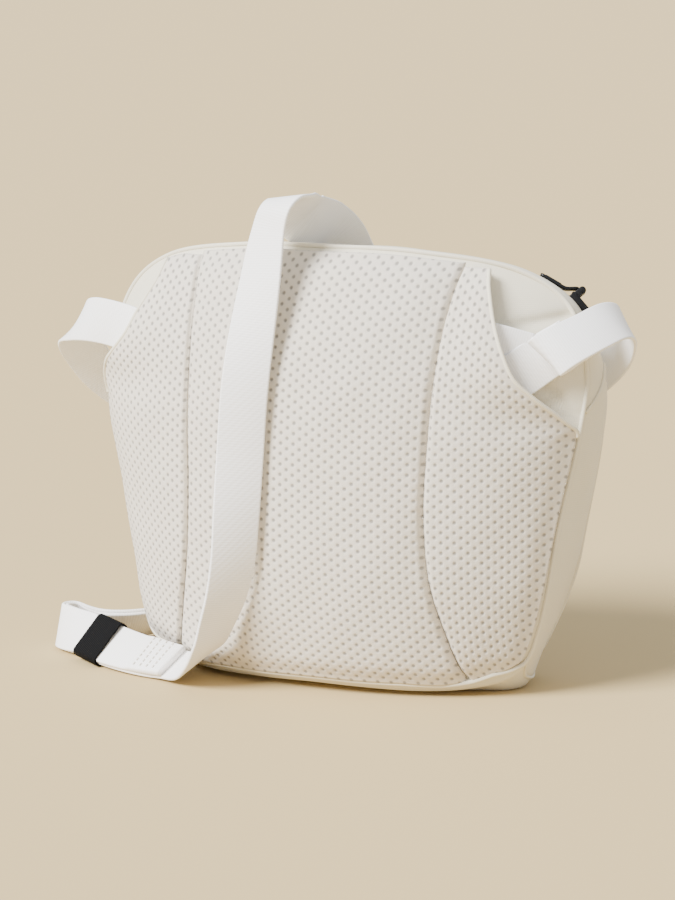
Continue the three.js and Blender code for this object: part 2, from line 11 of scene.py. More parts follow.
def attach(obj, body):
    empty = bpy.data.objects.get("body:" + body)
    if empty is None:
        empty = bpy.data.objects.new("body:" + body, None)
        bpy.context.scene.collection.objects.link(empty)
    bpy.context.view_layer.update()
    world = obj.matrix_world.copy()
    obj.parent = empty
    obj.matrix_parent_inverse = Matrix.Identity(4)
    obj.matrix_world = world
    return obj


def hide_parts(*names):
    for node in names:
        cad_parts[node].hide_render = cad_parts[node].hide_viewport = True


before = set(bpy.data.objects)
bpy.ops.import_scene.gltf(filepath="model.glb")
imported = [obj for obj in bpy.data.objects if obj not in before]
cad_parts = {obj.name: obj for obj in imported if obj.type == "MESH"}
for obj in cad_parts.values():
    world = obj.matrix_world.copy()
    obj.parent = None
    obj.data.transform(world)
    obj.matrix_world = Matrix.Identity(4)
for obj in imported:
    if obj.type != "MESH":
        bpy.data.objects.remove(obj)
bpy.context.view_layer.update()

# Studio: a seamless sheet of matt beige paper, one broad soft light high on the left and a low camera.
TARGET = Vector((-0.002, 0.0, 0.099))
AZIMUTH, ELEVATION, DISTANCE = math.radians(23), math.radians(10), 1.311
LENS_MM, SENSOR_MM = 120, 36
SUN_FROM = Vector((-0.66, -0.97, 0.92))
SUN_STRENGTH, SUN_SPREAD = 10.2, math.radians(26)
SKY_STRENGTH = 1.2
PAPER_SIZE, PAPER_DROP = 20, 0.0003


def linear(code):
    """The linear colour of an sRGB hex value."""
    channels = [int(code[i:i + 2], 16) / 255 for i in (1, 3, 5)]
    return tuple(c / 12.92 if c <= 0.04045 else ((c + 0.055) / 1.055) ** 2.4 for c in channels) + (1.0,)


def add(tree, kind, inputs=None, out=0, **settings):
    """Adds a node with its settings, links or sets its inputs, and gives one of its outputs."""
    node = tree.nodes.new(kind)
    for name, value in settings.items():
        setattr(node, name, value)
    for key, value in (inputs or {}).items():
        if isinstance(value, bpy.types.NodeSocket):
            tree.links.new(value, node.inputs[key])
        else:
            node.inputs[key].default_value = value
    return node.outputs[out]


def new_material(name, code, roughness, sheen=0.0, specular=0.5):
    material = bpy.data.materials.new(name)
    material.use_nodes = True
    tree = material.node_tree
    shader = tree.nodes["Principled BSDF"]
    shader.inputs["Base Color"].default_value = linear(code)
    shader.inputs["Roughness"].default_value = roughness
    shader.inputs["Sheen Weight"].default_value = sheen
    shader.inputs["Specular IOR Level"].default_value = specular
    return material, tree, shader


def show(obj):
    bpy.context.scene.collection.objects.link(obj)
    return obj


def as_object(name, net, material):
    """An object of one material from a net, which is used up."""
    mesh = bpy.data.meshes.new(name)
    net.to_mesh(mesh)
    net.free()
    mesh.polygons.foreach_set("use_smooth", np.ones(len(mesh.polygons), bool))
    mesh.materials.append(material)
    return show(bpy.data.objects.new(name, mesh))


level = math.cos(ELEVATION)
away = Vector((math.sin(AZIMUTH) * level, -math.cos(AZIMUTH) * level, math.sin(ELEVATION)))
camera = show(bpy.data.objects.new("camera", bpy.data.cameras.new("camera")))
camera.data.sensor_fit = "VERTICAL"
camera.data.sensor_height = SENSOR_MM
camera.data.lens = LENS_MM
camera.location = TARGET + DISTANCE * away
camera.rotation_euler = away.to_track_quat("Z", "Y").to_euler()
bpy.context.scene.camera = camera

sun = show(bpy.data.objects.new("broad_softbox", bpy.data.lights.new("broad_softbox", "SUN")))
sun.data.energy = SUN_STRENGTH
sun.data.angle = SUN_SPREAD
sun.rotation_euler = SUN_FROM.to_track_quat("Z", "Y").to_euler()
world = bpy.data.worlds.new("studio")
bpy.context.scene.world = world
world.use_nodes = True
sky = world.node_tree.nodes["Background"].inputs
sky["Color"].default_value = linear("#e9edf3")
sky["Strength"].default_value = SKY_STRENGTH

sheet = bmesh.new()
bmesh.ops.create_grid(sheet, x_segments=1, y_segments=1, size=PAPER_SIZE)
bmesh.ops.translate(sheet, verts=sheet.verts, vec=(0, 0, -PAPER_DROP))
floor = as_object("paper_floor", sheet, new_material("beige_paper", "#c2aa79", 0.9)[0])

# Bag shell, back wall: one panel of ivory nylon behind the padding, bowed outwards. It shows at the
# two upper corners, where the wings stand off it. Lengths are in millimetres from here on.
MM = 0.001
WALL = 1.3
OUTLINE = [  # x and z of the bag's right half, from the middle of the base to the middle of the top
    (0, 3), (67, 3), (88, 10), (97, 30), (103.5, 75), (110, 116),
    (111, 140), (102, 167), (82, 181.3), (40, 189), (0, 190),
]
RIM_STEPS, BASE_ROWS = 60, 40
HALF_WIDTH, HALF_HEIGHT = 112, 96
BACK_CROWN, BACK_SIDE, BACK_LEAN = -51, 44, 0.04
BACK_TOP, BACK_FOOT = 27, 19
SIDE_POWER, END_POWER = 2.2, 2.6
BROAD_SLACK, FINE_SLACK, BACK_SLACK = 0.3, 0.18, 0.5
TUCK_FROM, TUCK_FULL = 55, 110
BACK_GRID, EDGE_SHARE = (150, 120), 0.9995
CREASES = [  # x and z of each end, width and depth of the soft folds beside the right slot
    (82, 159, 103, 163, 2.4, 2.2),
    (92, 138, 105, 127, 2.0, 1.6),
    (97, 127, 108, 121, 1.7, 1.3),
]
CREASE_FADE = (-6, 4)
SHORTEST = 1e-6


def smooth_through(points, closed=False, steps=24):
    """A centripetal curve through the points, with that many rows for each span."""
    given = np.asarray(points, float)
    if closed:
        ring = np.vstack([given[-1:], given, given[:2]])
    else:
        ring = np.vstack([2 * given[:1] - given[1:2], given, 2 * given[-1:] - given[-2:-1]])
    share = np.linspace(0, 1, steps, endpoint=False)[:, None]
    s2, s3 = share ** 2, share ** 3
    rows = []
    for before, start, end, after in zip(ring, ring[1:], ring[2:], ring[3:]):
        pairs = ((before, start), (start, end), (end, after))
        d0, d1, d2 = (max(np.linalg.norm(q - p), SHORTEST) ** 0.5 for p, q in pairs)
        leave = ((start - before) / d0 - (end - before) / (d0 + d1) + (end - start) / d1) * d1
        arrive = ((end - start) / d1 - (after - start) / (d1 + d2) + (after - end) / d2) * d1
        rows.append(
            (2 * s3 - 3 * s2 + 1) * start + (s3 - 2 * s2 + share) * leave
            + (3 * s2 - 2 * s3) * end + (s3 - s2) * arrive
        )
    if not closed:
        rows.append(given[-1:])
    return np.vstack(rows)


def run_length(points):
    return np.concatenate([[0], np.cumsum(np.linalg.norm(np.diff(points, axis=0), axis=1))])


def smoothstep(x, low, high):
    t = np.clip((x - low) / (high - low), 0, 1)
    return t * t * (3 - 2 * t)


def between(first, last, share):
    return first + (last - first) * share


def unit(rows):
    return rows / np.linalg.norm(rows, axis=-1, keepdims=True)


mirrored = [(-x, z) for x, z in OUTLINE[-2:0:-1]]
rim_line = smooth_through(OUTLINE + mirrored, closed=True, steps=RIM_STEPS)
rim_ring = np.vstack([rim_line, rim_line[:1]])
RIM_LENGTH = run_length(rim_ring)[-1]
rim_share = run_length(rim_ring) / RIM_LENGTH
right_rim = rim_line[: len(rim_line) // 2 + 1]
widest = int(np.argmax(right_rim[:, 0]))


def rim(place):
    """The bag's outline at a share of its length, from the middle of the base round to the right."""
    share = np.mod(place, 1)
    return np.stack([np.interp(share, rim_share, rim_ring[:, k]) for k in (0, 1)], axis=-1)


def rim_place(z):
    """The place along the right rim at a height, past the flat base."""
    return np.interp(z, right_rim[BASE_ROWS:, 1], rim_share[BASE_ROWS:len(right_rim)])


def rim_height(x, upper):
    branch = right_rim[widest:][::-1] if upper else right_rim[: widest + 1]
    return np.interp(np.abs(x), branch[:, 0], branch[:, 1])


def bow(x, z, side, end):
    beside = np.abs(x / HALF_WIDTH) ** SIDE_POWER
    above = np.abs((z - HALF_HEIGHT) / HALF_HEIGHT) ** END_POWER
    return side * beside + end * above


def back_depth(x, z):
    end = np.where(z < HALF_HEIGHT, BACK_FOOT, BACK_TOP)
    return BACK_CROWN + bow(x, z, BACK_SIDE, end) + BACK_LEAN * z


def slack(a, b):
    """Slow unevenness of sewn cloth for two lengths along it."""
    broad = np.sin(0.093 * a + 0.061 * b + 1.2) * np.sin(0.047 * a - 0.117 * b + 0.4)
    return BROAD_SLACK * broad + FINE_SLACK * np.sin(0.21 * a - 0.13 * b + 2.1)


SIDE_TUCK = {  # height and how far the standing bag's soft sides have sunk in there
    1: smooth_through([(0, 1), (15, 2), (33, 2), (55, 0.6), (75, 0), (200, 0)]),
    -1: smooth_through([
        (0, 2.5), (30, 5.4), (45, 6.4), (57, 5.8), (70, 4.7), (83, 3.7), (97, 1.8), (112, 0), (200, 0),
    ]),
}


def settled(points):
    """Points of the bag with its sides sunk in."""
    for side, tuck in SIDE_TUCK.items():
        sunk = np.interp(points[..., 2], tuck[:, 0], tuck[:, 1])
        points[..., 0] -= side * sunk * smoothstep(side * points[..., 0], TUCK_FROM, TUCK_FULL)
    return points


def read(rows, key, size=1, kind=float):
    """A value of each row of a mesh's data."""
    flat = np.empty(size * len(rows), kind)
    rows.foreach_get(key, flat)
    return flat.reshape(-1, size)


def corners(mesh):
    return read(mesh.loops, "vertex_index", kind=np.int32)[:, 0]


def cloth_grid(name, size, surface, measure, material):
    """An object from a flat grid. surface gives its points, and measure its place in the cloth."""
    net = bmesh.new()
    bmesh.ops.create_grid(net, x_segments=size[0], y_segments=size[1], size=0.5)
    obj = as_object(name, net, material)
    mesh = obj.data
    u, v = (read(mesh.vertices, "co", 3)[:, k] + 0.5 for k in (0, 1))
    mesh.vertices.foreach_set("co", (surface(u, v) * MM).ravel())
    uv = mesh.uv_layers.new(name="UVMap")
    uv.data.foreach_set("uv", measure(u, v)[corners(mesh)].ravel())
    mesh.update()
    return obj


def thickened(obj, thick):
    """Gives a sheet its thickness, behind its outer face."""
    wall = obj.modifiers.new("thickness", "SOLIDIFY")
    wall.thickness = thick * MM
    wall.offset = -1


WAVE_PERIOD = 0.31416  # the period of a wave texture whose scale is 1


def bands(tree, cloth, period, way, **more):
    """Soft bands in the cloth, with that period in millimetres."""
    values = {"Vector": cloth, "Scale": WAVE_PERIOD / period, **more}
    return add(tree, "ShaderNodeTexWave", values, "Fac", bands_direction=way)


def mixed(tree, share, first, second):
    values = {"Factor": share, "A": first, "B": second}
    return add(tree, "ShaderNodeMix", values, "Result", data_type="RGBA")


def cloudy(tree, cloth, size, first, second):
    """A tone that drifts between two, in patches of that size in millimetres."""
    cloud = add(tree, "ShaderNodeTexNoise", {"Vector": cloth, "Scale": 1 / size, "Detail": 3.0})
    return mixed(tree, cloud, linear(first), linear(second))


def dress(tree, shader, height, strength, depth, tone=None):
    """Gives a shader its fine relief, and its tone where that isn't plain."""
    bump = add(tree, "ShaderNodeBump", {"Height": height, "Strength": strength, "Distance": depth})
    tree.links.new(bump, shader.inputs["Normal"])
    if tone is not None:
        tree.links.new(tone, shader.inputs["Base Color"])


# Plain-woven nylon with a matt coating: an even ivory, a little cloudy. The 0.3 mm threads are too
# fine to show, so they are drawn 0.8 mm wide.
THREAD_MM, NYLON_CLOUD_MM = 0.8, 28.57
nylon, tree, shader = new_material("coated_plain_weave_nylon", "#ece6d6", 0.6, sheen=0.12)
cloth = add(tree, "ShaderNodeUVMap", uv_map="UVMap")
warp, weft = (bands(tree, cloth, THREAD_MM, way) for way in "XY")
threads = add(tree, "ShaderNodeMath", {0: warp, 1: weft}, operation="MULTIPLY")
tone = cloudy(tree, cloth, NYLON_CLOUD_MM, "#d9d2bc", "#e2dbc7")
dress(tree, shader, threads, strength=0.25, depth=0.0002, tone=tone)


def nylon_wall(node, size, surface, measure):
    """A wall of the bag shell, in place of its node."""
    wall = cloth_grid("ivory_" + node, size, surface, measure, nylon)
    thickened(wall, WALL)
    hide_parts(node)
    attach(wall, "pack")


def crease_depth(x, z):
    total = np.zeros_like(x)
    for x0, z0, x1, z1, width, depth in CREASES:
        along = np.array([x1 - x0, z1 - z0])
        length = np.linalg.norm(along)
        run = ((x - x0) * along[0] + (z - z0) * along[1]) / length
        off = (-(x - x0) * along[1] + (z - z0) * along[0]) / length
        fade = smoothstep(run, *CREASE_FADE) * smoothstep(length - run, *CREASE_FADE)
        total += depth * fade * np.exp(-((off / width) ** 2))
    return total


def over_outline(u, v):
    x = EDGE_SHARE * right_rim[widest, 0] * np.sin((u - 0.5) * math.pi)
    return x, between(rim_height(x, False), rim_height(x, True), v)


def panel_measure(u, v):
    return np.stack(over_outline(u, v), axis=1)


def back_wall_surface(u, v):
    x, z = over_outline(u, v)
    depth = back_depth(x, z) + crease_depth(x, z) + BACK_SLACK * slack(x, z)
    return settled(np.stack([x, depth, z], axis=1))


nylon_wall("back_wall", BACK_GRID, back_wall_surface, panel_measure)

# Bag shell, front panel: the domed ivory nylon panel on the side away from the wearer's back. It is a
# little smaller than the back wall, and narrower still at its foot.
FRONT_CROWN, FRONT_SIDE, FRONT_END = 42, 9, 12
FRONT_WIDE, FRONT_HIGH, FOOT_NARROWER = 0.97, 0.92, 0.05
FOOT_RANGE = (5, 60)
FRONT_GRID = (120, 100)
BASE_Z = OUTLINE[0][1]


def front_depth(x, z):
    return FRONT_CROWN - bow(x, z, FRONT_SIDE, FRONT_END)


def front_place(x, z):
    """The front panel's x and z for a point of the back wall."""
    share = FRONT_WIDE - FOOT_NARROWER * (1 - smoothstep(z, *FOOT_RANGE))
    return share * x, BASE_Z + FRONT_HIGH * (z - BASE_Z)


def front_surface(u, v):
    x, z = front_place(*over_outline(1 - u, v))
    return settled(np.stack([x, front_depth(x, z) + slack(x, z), z], axis=1))


nylon_wall("front_panel", FRONT_GRID, front_surface, panel_measure)

# Bag shell, gusset: strips of the same nylon from the back seam to the front seam, round the base and
# the sides. The base strip is flat where the pack stands on it.
BULGE, TOP_BULGE, LOW_BULGE = 5, 3.2, 0.45
LOW_BULGE_RANGE = (12, 80)
SIDE_ROUND, BASE_ROUND, BASE_PRESS, BASE_POWER = 0.6, 0.7, 2, 4
CORNER_Z, SIDE_SEAM_Z, SIDE_SEAM_RISE, ZIP_END_Z = 13, 122.5, 27, 158
SEAM_TUCK, FOOT_SLOPE = 0.9, 0.6
GUSSET_DEPTH = 60
FOOT_MARGIN = np.array([  # distance from the middle, and how far the base strip shows above the rim
    (0, 3.3), (20, 3.4), (41, 3.9), (58, 3.1), (70, 3.7), (79, 5.4), (88, 4.3), (94, 1.5), (98, 0),
])
HALF_GAP, CORNER_DROP, RIM_STEP = 0.05 / RIM_LENGTH, 6 / RIM_LENGTH, 0.001
CORNER_DROP_DEPTH, WELT_ENDS, WELT_LEAN = 0.3, 0.06, 0.8
corner_place = float(rim_place(CORNER_Z))
zip_end = float(rim_place(ZIP_END_Z))


def foot_margin(x):
    return np.interp(np.abs(x), FOOT_MARGIN[:, 0], FOOT_MARGIN[:, 1])


def rim_along(place):
    return unit(rim(place + RIM_STEP) - rim(place - RIM_STEP))


def gusset(place, t, lift=0.0):
    """A point of the gusset at a place along the rim and a share of its depth, lifted outwards."""
    line = rim(place)
    t = np.broadcast_to(np.asarray(t, float), np.shape(line[..., 0]))
    x, z = line[..., 0], line[..., 1]
    along = rim_along(place)
    under = np.clip(along[..., 0], 0, 1)
    margin = foot_margin(x) * under
    front_x, front_z = front_place(x, z)
    seam_y = back_depth(x, z + margin) + SEAM_TUCK - FOOT_SLOPE * margin
    start = np.stack([x, seam_y, z + margin], axis=-1)
    end = np.stack([front_x, front_depth(front_x, front_z) - SEAM_TUCK, front_z], axis=-1)
    full = BULGE * (LOW_BULGE + (1 - LOW_BULGE) * smoothstep(z, *LOW_BULGE_RANGE))
    full = full + (TOP_BULGE - BULGE) * smoothstep(z, SIDE_SEAM_Z, OUTLINE[-2][1])
    full = full + (z + margin + BASE_PRESS - full) * under ** BASE_POWER
    out = full * np.sin(math.pi * np.clip(t, 0, 1)) ** (SIDE_ROUND + BASE_ROUND * under) + lift
    point = between(start, end, t[..., None])
    point[..., 0] += along[..., 1] * out
    point[..., 2] = np.maximum(point[..., 2] - along[..., 0] * out, 0)
    return settled(point)


def side_seam(t):
    """The curved seam across a side, higher towards the front."""
    t = np.asarray(t, float)
    return rim_place(SIDE_SEAM_Z + SIDE_SEAM_RISE * (1 - (1 - t) ** 2))


def corner_seam(t):
    """The seam between the base strip and a side strip, lower behind the rim."""
    return corner_place - CORNER_DROP * smoothstep(np.asarray(t, float), 0, CORNER_DROP_DEPTH)


def gusset_strip(node, start, end, depths, size, ripple, welt=0.0):
    """A strip of the gusset between two edges: places along the rim for a share of its depth."""
    def where(u, v):
        t = between(depths[1], depths[0], v)
        return between(start(t) + HALF_GAP, end(t) - HALF_GAP, u), t

    def surface(u, v):
        place, t = where(u, v)
        fade = np.clip(np.sin(math.pi * u) * np.sin(math.pi * v), 0, 1) ** 0.5
        ends = smoothstep(np.minimum(u, 1 - u), 0, WELT_ENDS)
        crest = welt * ends * np.clip(np.sin(math.pi * v ** WELT_LEAN), 0, 1)
        return gusset(place, t, ripple * fade * slack(RIM_LENGTH * place, GUSSET_DEPTH * t) + crest)

    def measure(u, v):
        place, t = where(u, v)
        return np.stack([RIM_LENGTH * place, GUSSET_DEPTH * t], axis=1)

    nylon_wall(node, size, surface, measure)


gussets = [  # node, first edge, last edge, grid and unevenness
    ("bottom_gusset", lambda t: -corner_seam(t), corner_seam, (160, 60), 0),
    ("side_gusset_right", corner_seam, side_seam, (70, 40), 0.8),
    ("side_gusset_left", lambda t: -side_seam(t), lambda t: -corner_seam(t), (70, 40), 0.8),
    ("side_top_right", side_seam, lambda t: zip_end, (30, 40), 0.6),
    ("side_top_left", lambda t: -zip_end, lambda t: -side_seam(t), (30, 40), 0.6),
]
for node, start, end, size, ripple in gussets:
    gusset_strip(node, start, end, (0, 1), size, ripple)

# Zip: a band of nylon on each side of the tape over the top, and the tape sewn in between them, a
# little lower.
HALF_TAPE, TAPE_GAP = 0.1, 0.003
top_strips = [  # node, depths, grid, unevenness and crown
    ("top_band_rear", (0, 0.5 - HALF_TAPE - TAPE_GAP), (160, 18), 0.4, 0.7),
    ("zip_tape", (0.5 - HALF_TAPE + TAPE_GAP, 0.5 + HALF_TAPE - TAPE_GAP), (160, 10), 0, -0.7),
    ("top_band_front", (0.5 + HALF_TAPE + TAPE_GAP, 1), (160, 18), 0.5, 0.8),
]
for node, depths, size, ripple, welt in top_strips:
    gusset_strip(node, lambda t: zip_end, lambda t: 1 - zip_end, depths, size, ripple, welt)

# Back padding: foam under warp-knitted spacer mesh, punched with staggered rows of small holes. The
# middle panel is sewn to a wing on each side along a curved seam, and each wing's upper edge is free.
PAD_THICK, PAD_SEAT, PAD_COVER = 5.4, 0.5, 2.2
PAD_SEAM = smooth_through([  # height and distance from the middle
    (0, 70), (28, 62), (52, 56.5), (78, 54.5), (116, 55.5), (160, 58), (192, 62),
])
WING_EDGES = {  # height, distance from the middle and stand-off of each wing's edge, from below its mouth
    1: smooth_through([
        (112, 109.6, 0.4), (116, 109.9, 1.1), (119, 107.6, 2.6), (126, 101.6, 5.4), (132.6, 95.4, 7.5),
        (139.1, 89.6, 8.6), (151, 83.8, 8.3), (162.3, 79.1, 6.2), (175, 74.9, 4), (188, 70.8, 2),
    ]),
    -1: smooth_through([
        (118, 110.3, 0.6), (123, 110.6, 2.2), (130, 109.2, 5), (136, 105.7, 7.2), (140.8, 100.9, 8),
        (149.5, 93.2, 7.2), (158.4, 89.4, 4.4), (166, 85.6, 2.6), (174.5, 81.5, 1.4), (188, 78.5, 0.8),
    ]),
}
WING_MOUTH = {1: 117, -1: 123}
WING_TOP, WING_FOOT, WING_CORNER = 183.5, 5.6, 15.3
WING_OVER, EDGE_BLEND = 0.3, 4
WING_EASES = ((0.9, 30, 75), (1.2, 8, 30))  # how far the sewn edge draws in, below which heights
WING_FADE, BENT_LIFT, BENT_LEAN, FREE_REACH = 60, 3.0, 1.4, 1.1
MOUTH_BELOW, MOUTH_ABOVE, FREE_PLUMP = 6, 14, 9
HOLE_ACROSS, HOLE_UP, HOLE_DEPTH = 5.82, 4.4, 0.6
HOLE_WALL, HOLE_SHADE, HOLE_MARGIN = (0.2, 1.1), (0.35, 1.15), (1, 3)
PAD_TOP_MARGIN, PAD_FOOT_GAP = 1.4, 0.2
SEAM_DIP, SEAM_DIP_WIDE = 0.9, 8
SEAM_GROOVE, SEAM_GROOVE_WIDE = 2.4, 1.2
RIM_DIP, RIM_DIP_WIDE = 2.6, 5
PUCKER, PUCKER_REACH, PAD_SLACK, PAD_SLACK_RANGE = 0.2, 4, 0.6, (0, 10)
CENTRE_GRID, CENTRE_COARSE = (150, 240), (24, 40)
WING_GRID, WING_COARSE = (80, 230), (12, 40)
SWELL_LIMIT, SWELL_PRESSURE, SWELL_FRAMES = 1.6, 4.0, 20

# Warp-knitted polyester: dull and slightly grey beside the nylon. Each hole is painted as a soft dark dot,
# painted shade standing in for the shade inside the recess.
KNIT_MM, KNIT_RELIEF, MESH_CLOUD_MM = 0.77, 0.35, 20
mesh_cloth, tree, shader = new_material("perforated_spacer_mesh", "#e6dfd5", 0.85, sheen=0.15)
cloth = add(tree, "ShaderNodeUVMap", uv_map="UVMap")
pitch = (1 / HOLE_ACROSS, 1 / HOLE_UP, 0)
cell = add(tree, "ShaderNodeVectorMath", {0: cloth, 1: pitch}, operation="MULTIPLY")
nearest = []
for shift in (0.0, 0.5):
    row = add(tree, "ShaderNodeVectorMath", {0: cell, 1: (shift, shift, 0)}, operation="ADD")
    part = add(tree, "ShaderNodeVectorMath", {0: row}, operation="FRACTION")
    off = add(tree, "ShaderNodeVectorMath", {0: part, 1: (0.5, 0.5, 0)}, operation="SUBTRACT")
    full_size = {0: off, 1: (HOLE_ACROSS, HOLE_UP, 0)}
    off_mm = add(tree, "ShaderNodeVectorMath", full_size, operation="MULTIPLY")
    nearest.append(add(tree, "ShaderNodeVectorMath", {0: off_mm}, "Value", operation="LENGTH"))
distance = add(tree, "ShaderNodeMath", dict(enumerate(nearest)), operation="MINIMUM")
fall = {
    "Value": distance, "From Min": HOLE_SHADE[0], "From Max": HOLE_SHADE[1], "To Min": 1.0, "To Max": 0.0,
}
hole = add(tree, "ShaderNodeMapRange", fall, interpolation_type="SMOOTHSTEP")
face = cloudy(tree, cloth, MESH_CLOUD_MM, "#d0c8ba", "#d8d0c3")
# Painted shade: the face turns grey towards each hole's middle, as if shade fell into it.
tone = mixed(tree, hole, face, linear("#938e86"))
knit = add(tree, "ShaderNodeTexVoronoi", {"Vector": cloth, "Scale": 1 / KNIT_MM}, "Distance")
relief = add(tree, "ShaderNodeMath", {0: knit, 1: KNIT_RELIEF}, operation="MULTIPLY")
pits = add(tree, "ShaderNodeMath", {0: relief, 1: hole}, operation="SUBTRACT")
dress(tree, shader, pits, strength=0.35, depth=0.0003, tone=tone)

BOW_POINTS, BOW_Z = 300, 90.0
across_x = np.linspace(0, HALF_WIDTH, BOW_POINTS)
across_y = back_depth(across_x, np.full(BOW_POINTS, BOW_Z))
across_run = run_length(np.stack([across_x, across_y], axis=1))


def cloth_place(x, z):
    """Place in the flat cloth: the length round the bow and the height."""
    return np.stack([np.sign(x) * np.interp(np.abs(x), across_x, across_run), z], axis=1)


def punched(x, z):
    """Depth of the punched holes, from the same staggered rows as the material."""
    pitch = np.array([HOLE_ACROSS, HOLE_UP])
    place = cloth_place(x, z) / pitch
    gaps = [np.linalg.norm((np.mod(place + shift, 1) - 0.5) * pitch, axis=1) for shift in (0.0, 0.5)]
    return HOLE_DEPTH * (1 - smoothstep(np.minimum(*gaps), *HOLE_WALL))


def seam_x(z):
    return np.interp(z, PAD_SEAM[:, 0], PAD_SEAM[:, 1])


def bell(x, wide):
    return np.exp(-((x / wide) ** 2))


def foam(x, z, sewn, rim_edge, swell):
    """Height of the foam by its distances from the sewn seams, which gather it a little, and the rim."""
    crown = PAD_THICK - SEAM_DIP * bell(sewn, SEAM_DIP_WIDE) - SEAM_GROOVE * bell(sewn, SEAM_GROOVE_WIDE)
    crown = crown - RIM_DIP * bell(rim_edge, RIM_DIP_WIDE)
    gathers = PUCKER * np.sin(z * 0.9) * np.sin(z * 0.31 + 0.7) * np.exp(-sewn / PUCKER_REACH)
    return crown + gathers + PAD_SLACK * slack(x, z) * smoothstep(rim_edge, *PAD_SLACK_RANGE) + swell


def pad_foot(x):
    return rim_height(x, False) + foot_margin(x) + PAD_FOOT_GAP


def centre_place(u, v):
    """x, z, foot, top and seam of a point of the middle panel, by its shares across and up."""
    seam = seam_x(rim_height(0, True) * v)
    for _ in range(4):
        low, high = pad_foot(seam), rim_height(seam, True) - PAD_TOP_MARGIN
        seam = seam_x(between(low, high, v))
    x = seam * (2 * u - 1)
    low, high = pad_foot(x), rim_height(x, True) - PAD_TOP_MARGIN
    return x, between(low, high, v), low, high, seam


def centre_surface(u, v, swell=0.0, holes=1.0):
    x, z, low, high, seam = centre_place(u, v)
    sewn = seam - np.abs(x)
    rim_edge = np.minimum(z - low, high - z)
    height = foam(x, z, sewn, rim_edge, swell)
    pit = holes * punched(x, z) * smoothstep(np.minimum(sewn, rim_edge), *HOLE_MARGIN)
    return settled(np.stack([x, back_depth(x, z) - PAD_SEAT - height + pit, z], axis=1))


def wing_edge(z, side):
    """A wing's outer edge: beside the rim up to its mouth, and the free edge above it."""
    rising = right_rim[BASE_ROWS:widest]
    rim_x = np.interp(z, rising[:, 1], rising[:, 0])
    sewn_x = rim_x + WING_OVER
    for drawn_in, low, high in WING_EASES:
        sewn_x = sewn_x - drawn_in * (1 - smoothstep(z, low, high))
    free = WING_EDGES[side]
    mix = smoothstep(z, free[0, 0] - EDGE_BLEND, free[0, 0] + EDGE_BLEND)
    return between(sewn_x, np.interp(z, free[:, 0], free[:, 1]), mix)


def wing_place(u, v, side):
    """x, z, seam, outer edge and foot of a point of a wing, by its shares across and up."""
    inner_z, outer_z = between(WING_FOOT, WING_TOP, v), between(WING_CORNER, WING_TOP, v)
    seam, edge = seam_x(inner_z), wing_edge(outer_z, side)
    foot = pad_foot(between(seam_x(WING_FOOT), wing_edge(WING_CORNER, side), u))
    sag = foot - between(WING_FOOT, WING_CORNER, u)
    top_x = between(seam_x(WING_TOP), wing_edge(WING_TOP, side), u)
    dip = WING_TOP - np.minimum(WING_TOP, rim_height(top_x, True) - PAD_TOP_MARGIN)
    z = between(inner_z, outer_z, u) + sag * (1 - v) ** 2 - dip * v ** 4
    return between(seam, edge, u), z, seam, edge, foot


def wing_stand(u, z, side):
    """How far a wing stands off the bag: free above its mouth, and pushed up by the bend below it."""
    mouth = WING_MOUTH[side]
    lift = np.interp(np.maximum(z, mouth), WING_EDGES[side][:, 0], WING_EDGES[side][:, 2])
    free = lift * smoothstep(u, 0, FREE_REACH)
    bent = BENT_LIFT * smoothstep(z, mouth - WING_FADE, mouth)
    bent = bent * np.sin(math.pi * np.clip(u, 0, 1) ** BENT_LEAN)
    return between(bent, free, smoothstep(z, mouth - MOUTH_BELOW, mouth + MOUTH_ABOVE))


def wing_surface(u, v, side, swell=0.0, holes=1.0):
    x, z, seam, edge, foot = wing_place(u, v, side)
    sewn = x - seam
    free = smoothstep(z, WING_MOUTH[side] - MOUTH_BELOW, WING_MOUTH[side] + MOUTH_BELOW)
    rim_edge = np.minimum(np.minimum(z - foot, WING_TOP + 1 - z), edge - x + FREE_PLUMP * free)
    height = foam(side * x, z, sewn, rim_edge, swell)
    clear = smoothstep(np.minimum(sewn, np.minimum(edge - x, z - foot)), *HOLE_MARGIN)
    pit = holes * punched(side * x, z) * clear
    depth = back_depth(x, z) - PAD_SEAT - wing_stand(u, z, side) - height + pit
    return settled(np.stack([side * x, depth, z], axis=1))


